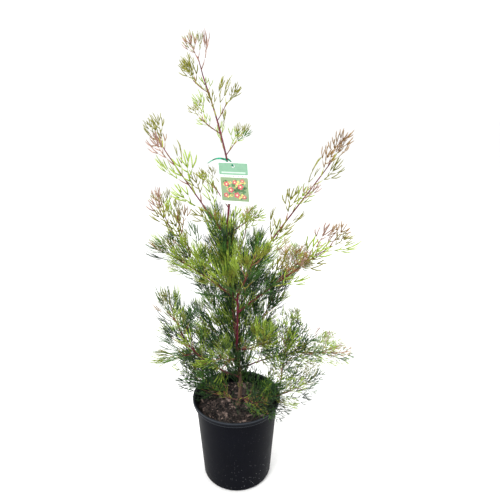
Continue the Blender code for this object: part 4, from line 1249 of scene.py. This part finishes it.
class GREVILLEA_OT_tie(bpy.types.Operator):
    """Make the tie that holds the label to the leader"""

    bl_idname = "grevillea.tie"
    bl_label = "Tie"

    def execute(self, context):
        sizes = context.scene.grevillea_label
        trunk = trunk_line()
        place = float(np.interp(TIE_HEIGHT, trunk.points[:, 2], trunk.places))
        leader = trunk.at(place)[0]
        hole = np.array(card_matrix() @ Vector((0, 0, sizes.height / 2 - HOLE_DROP + 0.0006)))
        heights, widths = zip(*TRUNK_TAPER)
        room = float(np.interp(TIE_HEIGHT, heights, widths)) + TIE_THICKNESS / 2 + 0.0005
        middle = (leader + hole) / 2
        reach = np.linalg.norm(leader - hole) / 2 + room
        along = unit(hole - leader)
        across = unit(np.cross(along, (0, 0, 1)))
        loop = []
        for k in range(97):
            turn = 2 * pi * k / 96
            width = TIE_NECK + (room * 2.2 - TIE_NECK) * (1 - cos(turn)) / 2
            loop.append(middle + along * (cos(turn) * reach) + across * (sin(turn) * width))
        made = Gather()
        made.add(*strap(loop, TIE_WIDTH, TIE_THICKNESS))
        start = min(loop, key=lambda p: p[0])
        tail = []
        for k in range(33):
            share = k / 32
            rise = TAIL_ARCH * sin(pi * share) - TAIL_DROP * share ** 2
            tail.append(start + np.array((-TIE_TAIL * share, -TAIL_FORWARD * share, rise)))
        made.add(*strap(tail, TIE_WIDTH, TIE_THICKNESS, turns=0.2))
        knot = []
        for k in range(61):
            share = k / 60
            spin = 2 * pi * 2.5 * share
            centre = start + np.array((0.0005 - 0.006 * share, -0.0006 * share, 0.0008 * share))
            knot.append(centre + 0.0014 * np.array((0.0, cos(spin), sin(spin))))
        made.add(*tube(Line(knot, [0.00065] * len(knot)), 8))
        vinyl = moulded_vinyl(context.scene.grevillea_print.tie)
        settle(made.build("tie_strap", vinyl, 50), "tie_plastic", "label_tie")
        return {"FINISHED"}


class GREVILLEA_OT_stage(bpy.types.Operator):
    """Set the floor, the soft lights and the camera"""

    bl_idname = "grevillea.stage"
    bl_label = "Stage"

    def execute(self, context):
        scene = context.scene
        floor = Gather()
        reach = FLOOR_REACH
        floor.add(*prism([(-reach, -reach), (reach, -reach), (reach, reach), (-reach, reach)],
                         0.0, FLOOR_THICKNESS))
        ground = floor.build("floor", painted_board(), PLATE_CREASE)
        ground.data.transform(Matrix.Rotation(-pi / 2, 4, "X"))
        top = max(v.co.z for v in ground.data.vertices)
        ground.data.transform(Matrix.Translation((0, 0, -top - FLOOR_GAP)))
        world = bpy.data.worlds.new("soft_sky")
        world.use_nodes = True
        back = world.node_tree.nodes["Background"]
        back.inputs["Color"].default_value = WHITE
        back.inputs["Strength"].default_value = SKY_STRENGTH
        scene.world = world
        for name, place, size, power in LIGHTS:
            lamp = bpy.data.lights.new(name, "AREA")
            lamp.size = size
            lamp.energy = power
            item = bpy.data.objects.new(name, lamp)
            scene.collection.objects.link(item)
            item.location = place
            aim = Vector(LIGHT_AIM) - Vector(place)
            item.rotation_euler = aim.to_track_quat("-Z", "Y").to_euler()
        lens = bpy.data.cameras.new("camera")
        lens.sensor_width = SENSOR_WIDTH
        lens.lens = LENS
        camera = bpy.data.objects.new("camera", lens)
        scene.collection.objects.link(camera)
        camera.location = CAMERA_PLACE
        camera.rotation_euler = (radians(CAMERA_TILT), 0.0, 0.0)
        scene.camera = camera
        scene.view_settings.view_transform = "Standard"
        return {"FINISHED"}


class GREVILLEA_PT_panel(bpy.types.Panel):
    """Sizes, colours and steps of the potted grevillea"""

    bl_idname = "GREVILLEA_PT_panel"
    bl_label = "Grevillea"
    bl_space_type = "VIEW_3D"
    bl_region_type = "UI"
    bl_category = "Grevillea"

    def draw(self, context):
        for name in GROUPS:
            box = self.layout.box()
            settings = getattr(context.scene, name)
            for prop in settings.bl_rna.properties:
                if prop.identifier not in ("rna_type", "name"):
                    box.prop(settings, prop.identifier)
        for step in STEPS:
            self.layout.operator(step.bl_idname)


GROUPS = {"grevillea_plant": PlantSizes, "grevillea_label": LabelSizes,
          "grevillea_wood": WoodAndPotColours, "grevillea_leaves": LeafColours,
          "grevillea_print": LabelColours}
STEPS = (GREVILLEA_OT_pot, GREVILLEA_OT_mix, GREVILLEA_OT_wood, GREVILLEA_OT_foliage,
         GREVILLEA_OT_label, GREVILLEA_OT_tie, GREVILLEA_OT_stage)


def register():
    for group in tuple(GROUPS.values()) + STEPS + (GREVILLEA_PT_panel,):
        bpy.utils.register_class(group)
    for name, group in GROUPS.items():
        setattr(bpy.types.Scene, name, PointerProperty(type=group))


def unregister():
    for name in GROUPS:
        delattr(bpy.types.Scene, name)
    for group in reversed(tuple(GROUPS.values()) + STEPS + (GREVILLEA_PT_panel,)):
        bpy.utils.unregister_class(group)


def main():
    register()
    bpy.ops.grevillea.pot()
    bpy.ops.grevillea.mix()
    bpy.ops.grevillea.wood()
    bpy.ops.grevillea.foliage()
    bpy.ops.grevillea.label()
    bpy.ops.grevillea.tie()
    bpy.ops.grevillea.stage()
    bpy.context.view_layer.update()


if __name__ == "__main__":
    main()
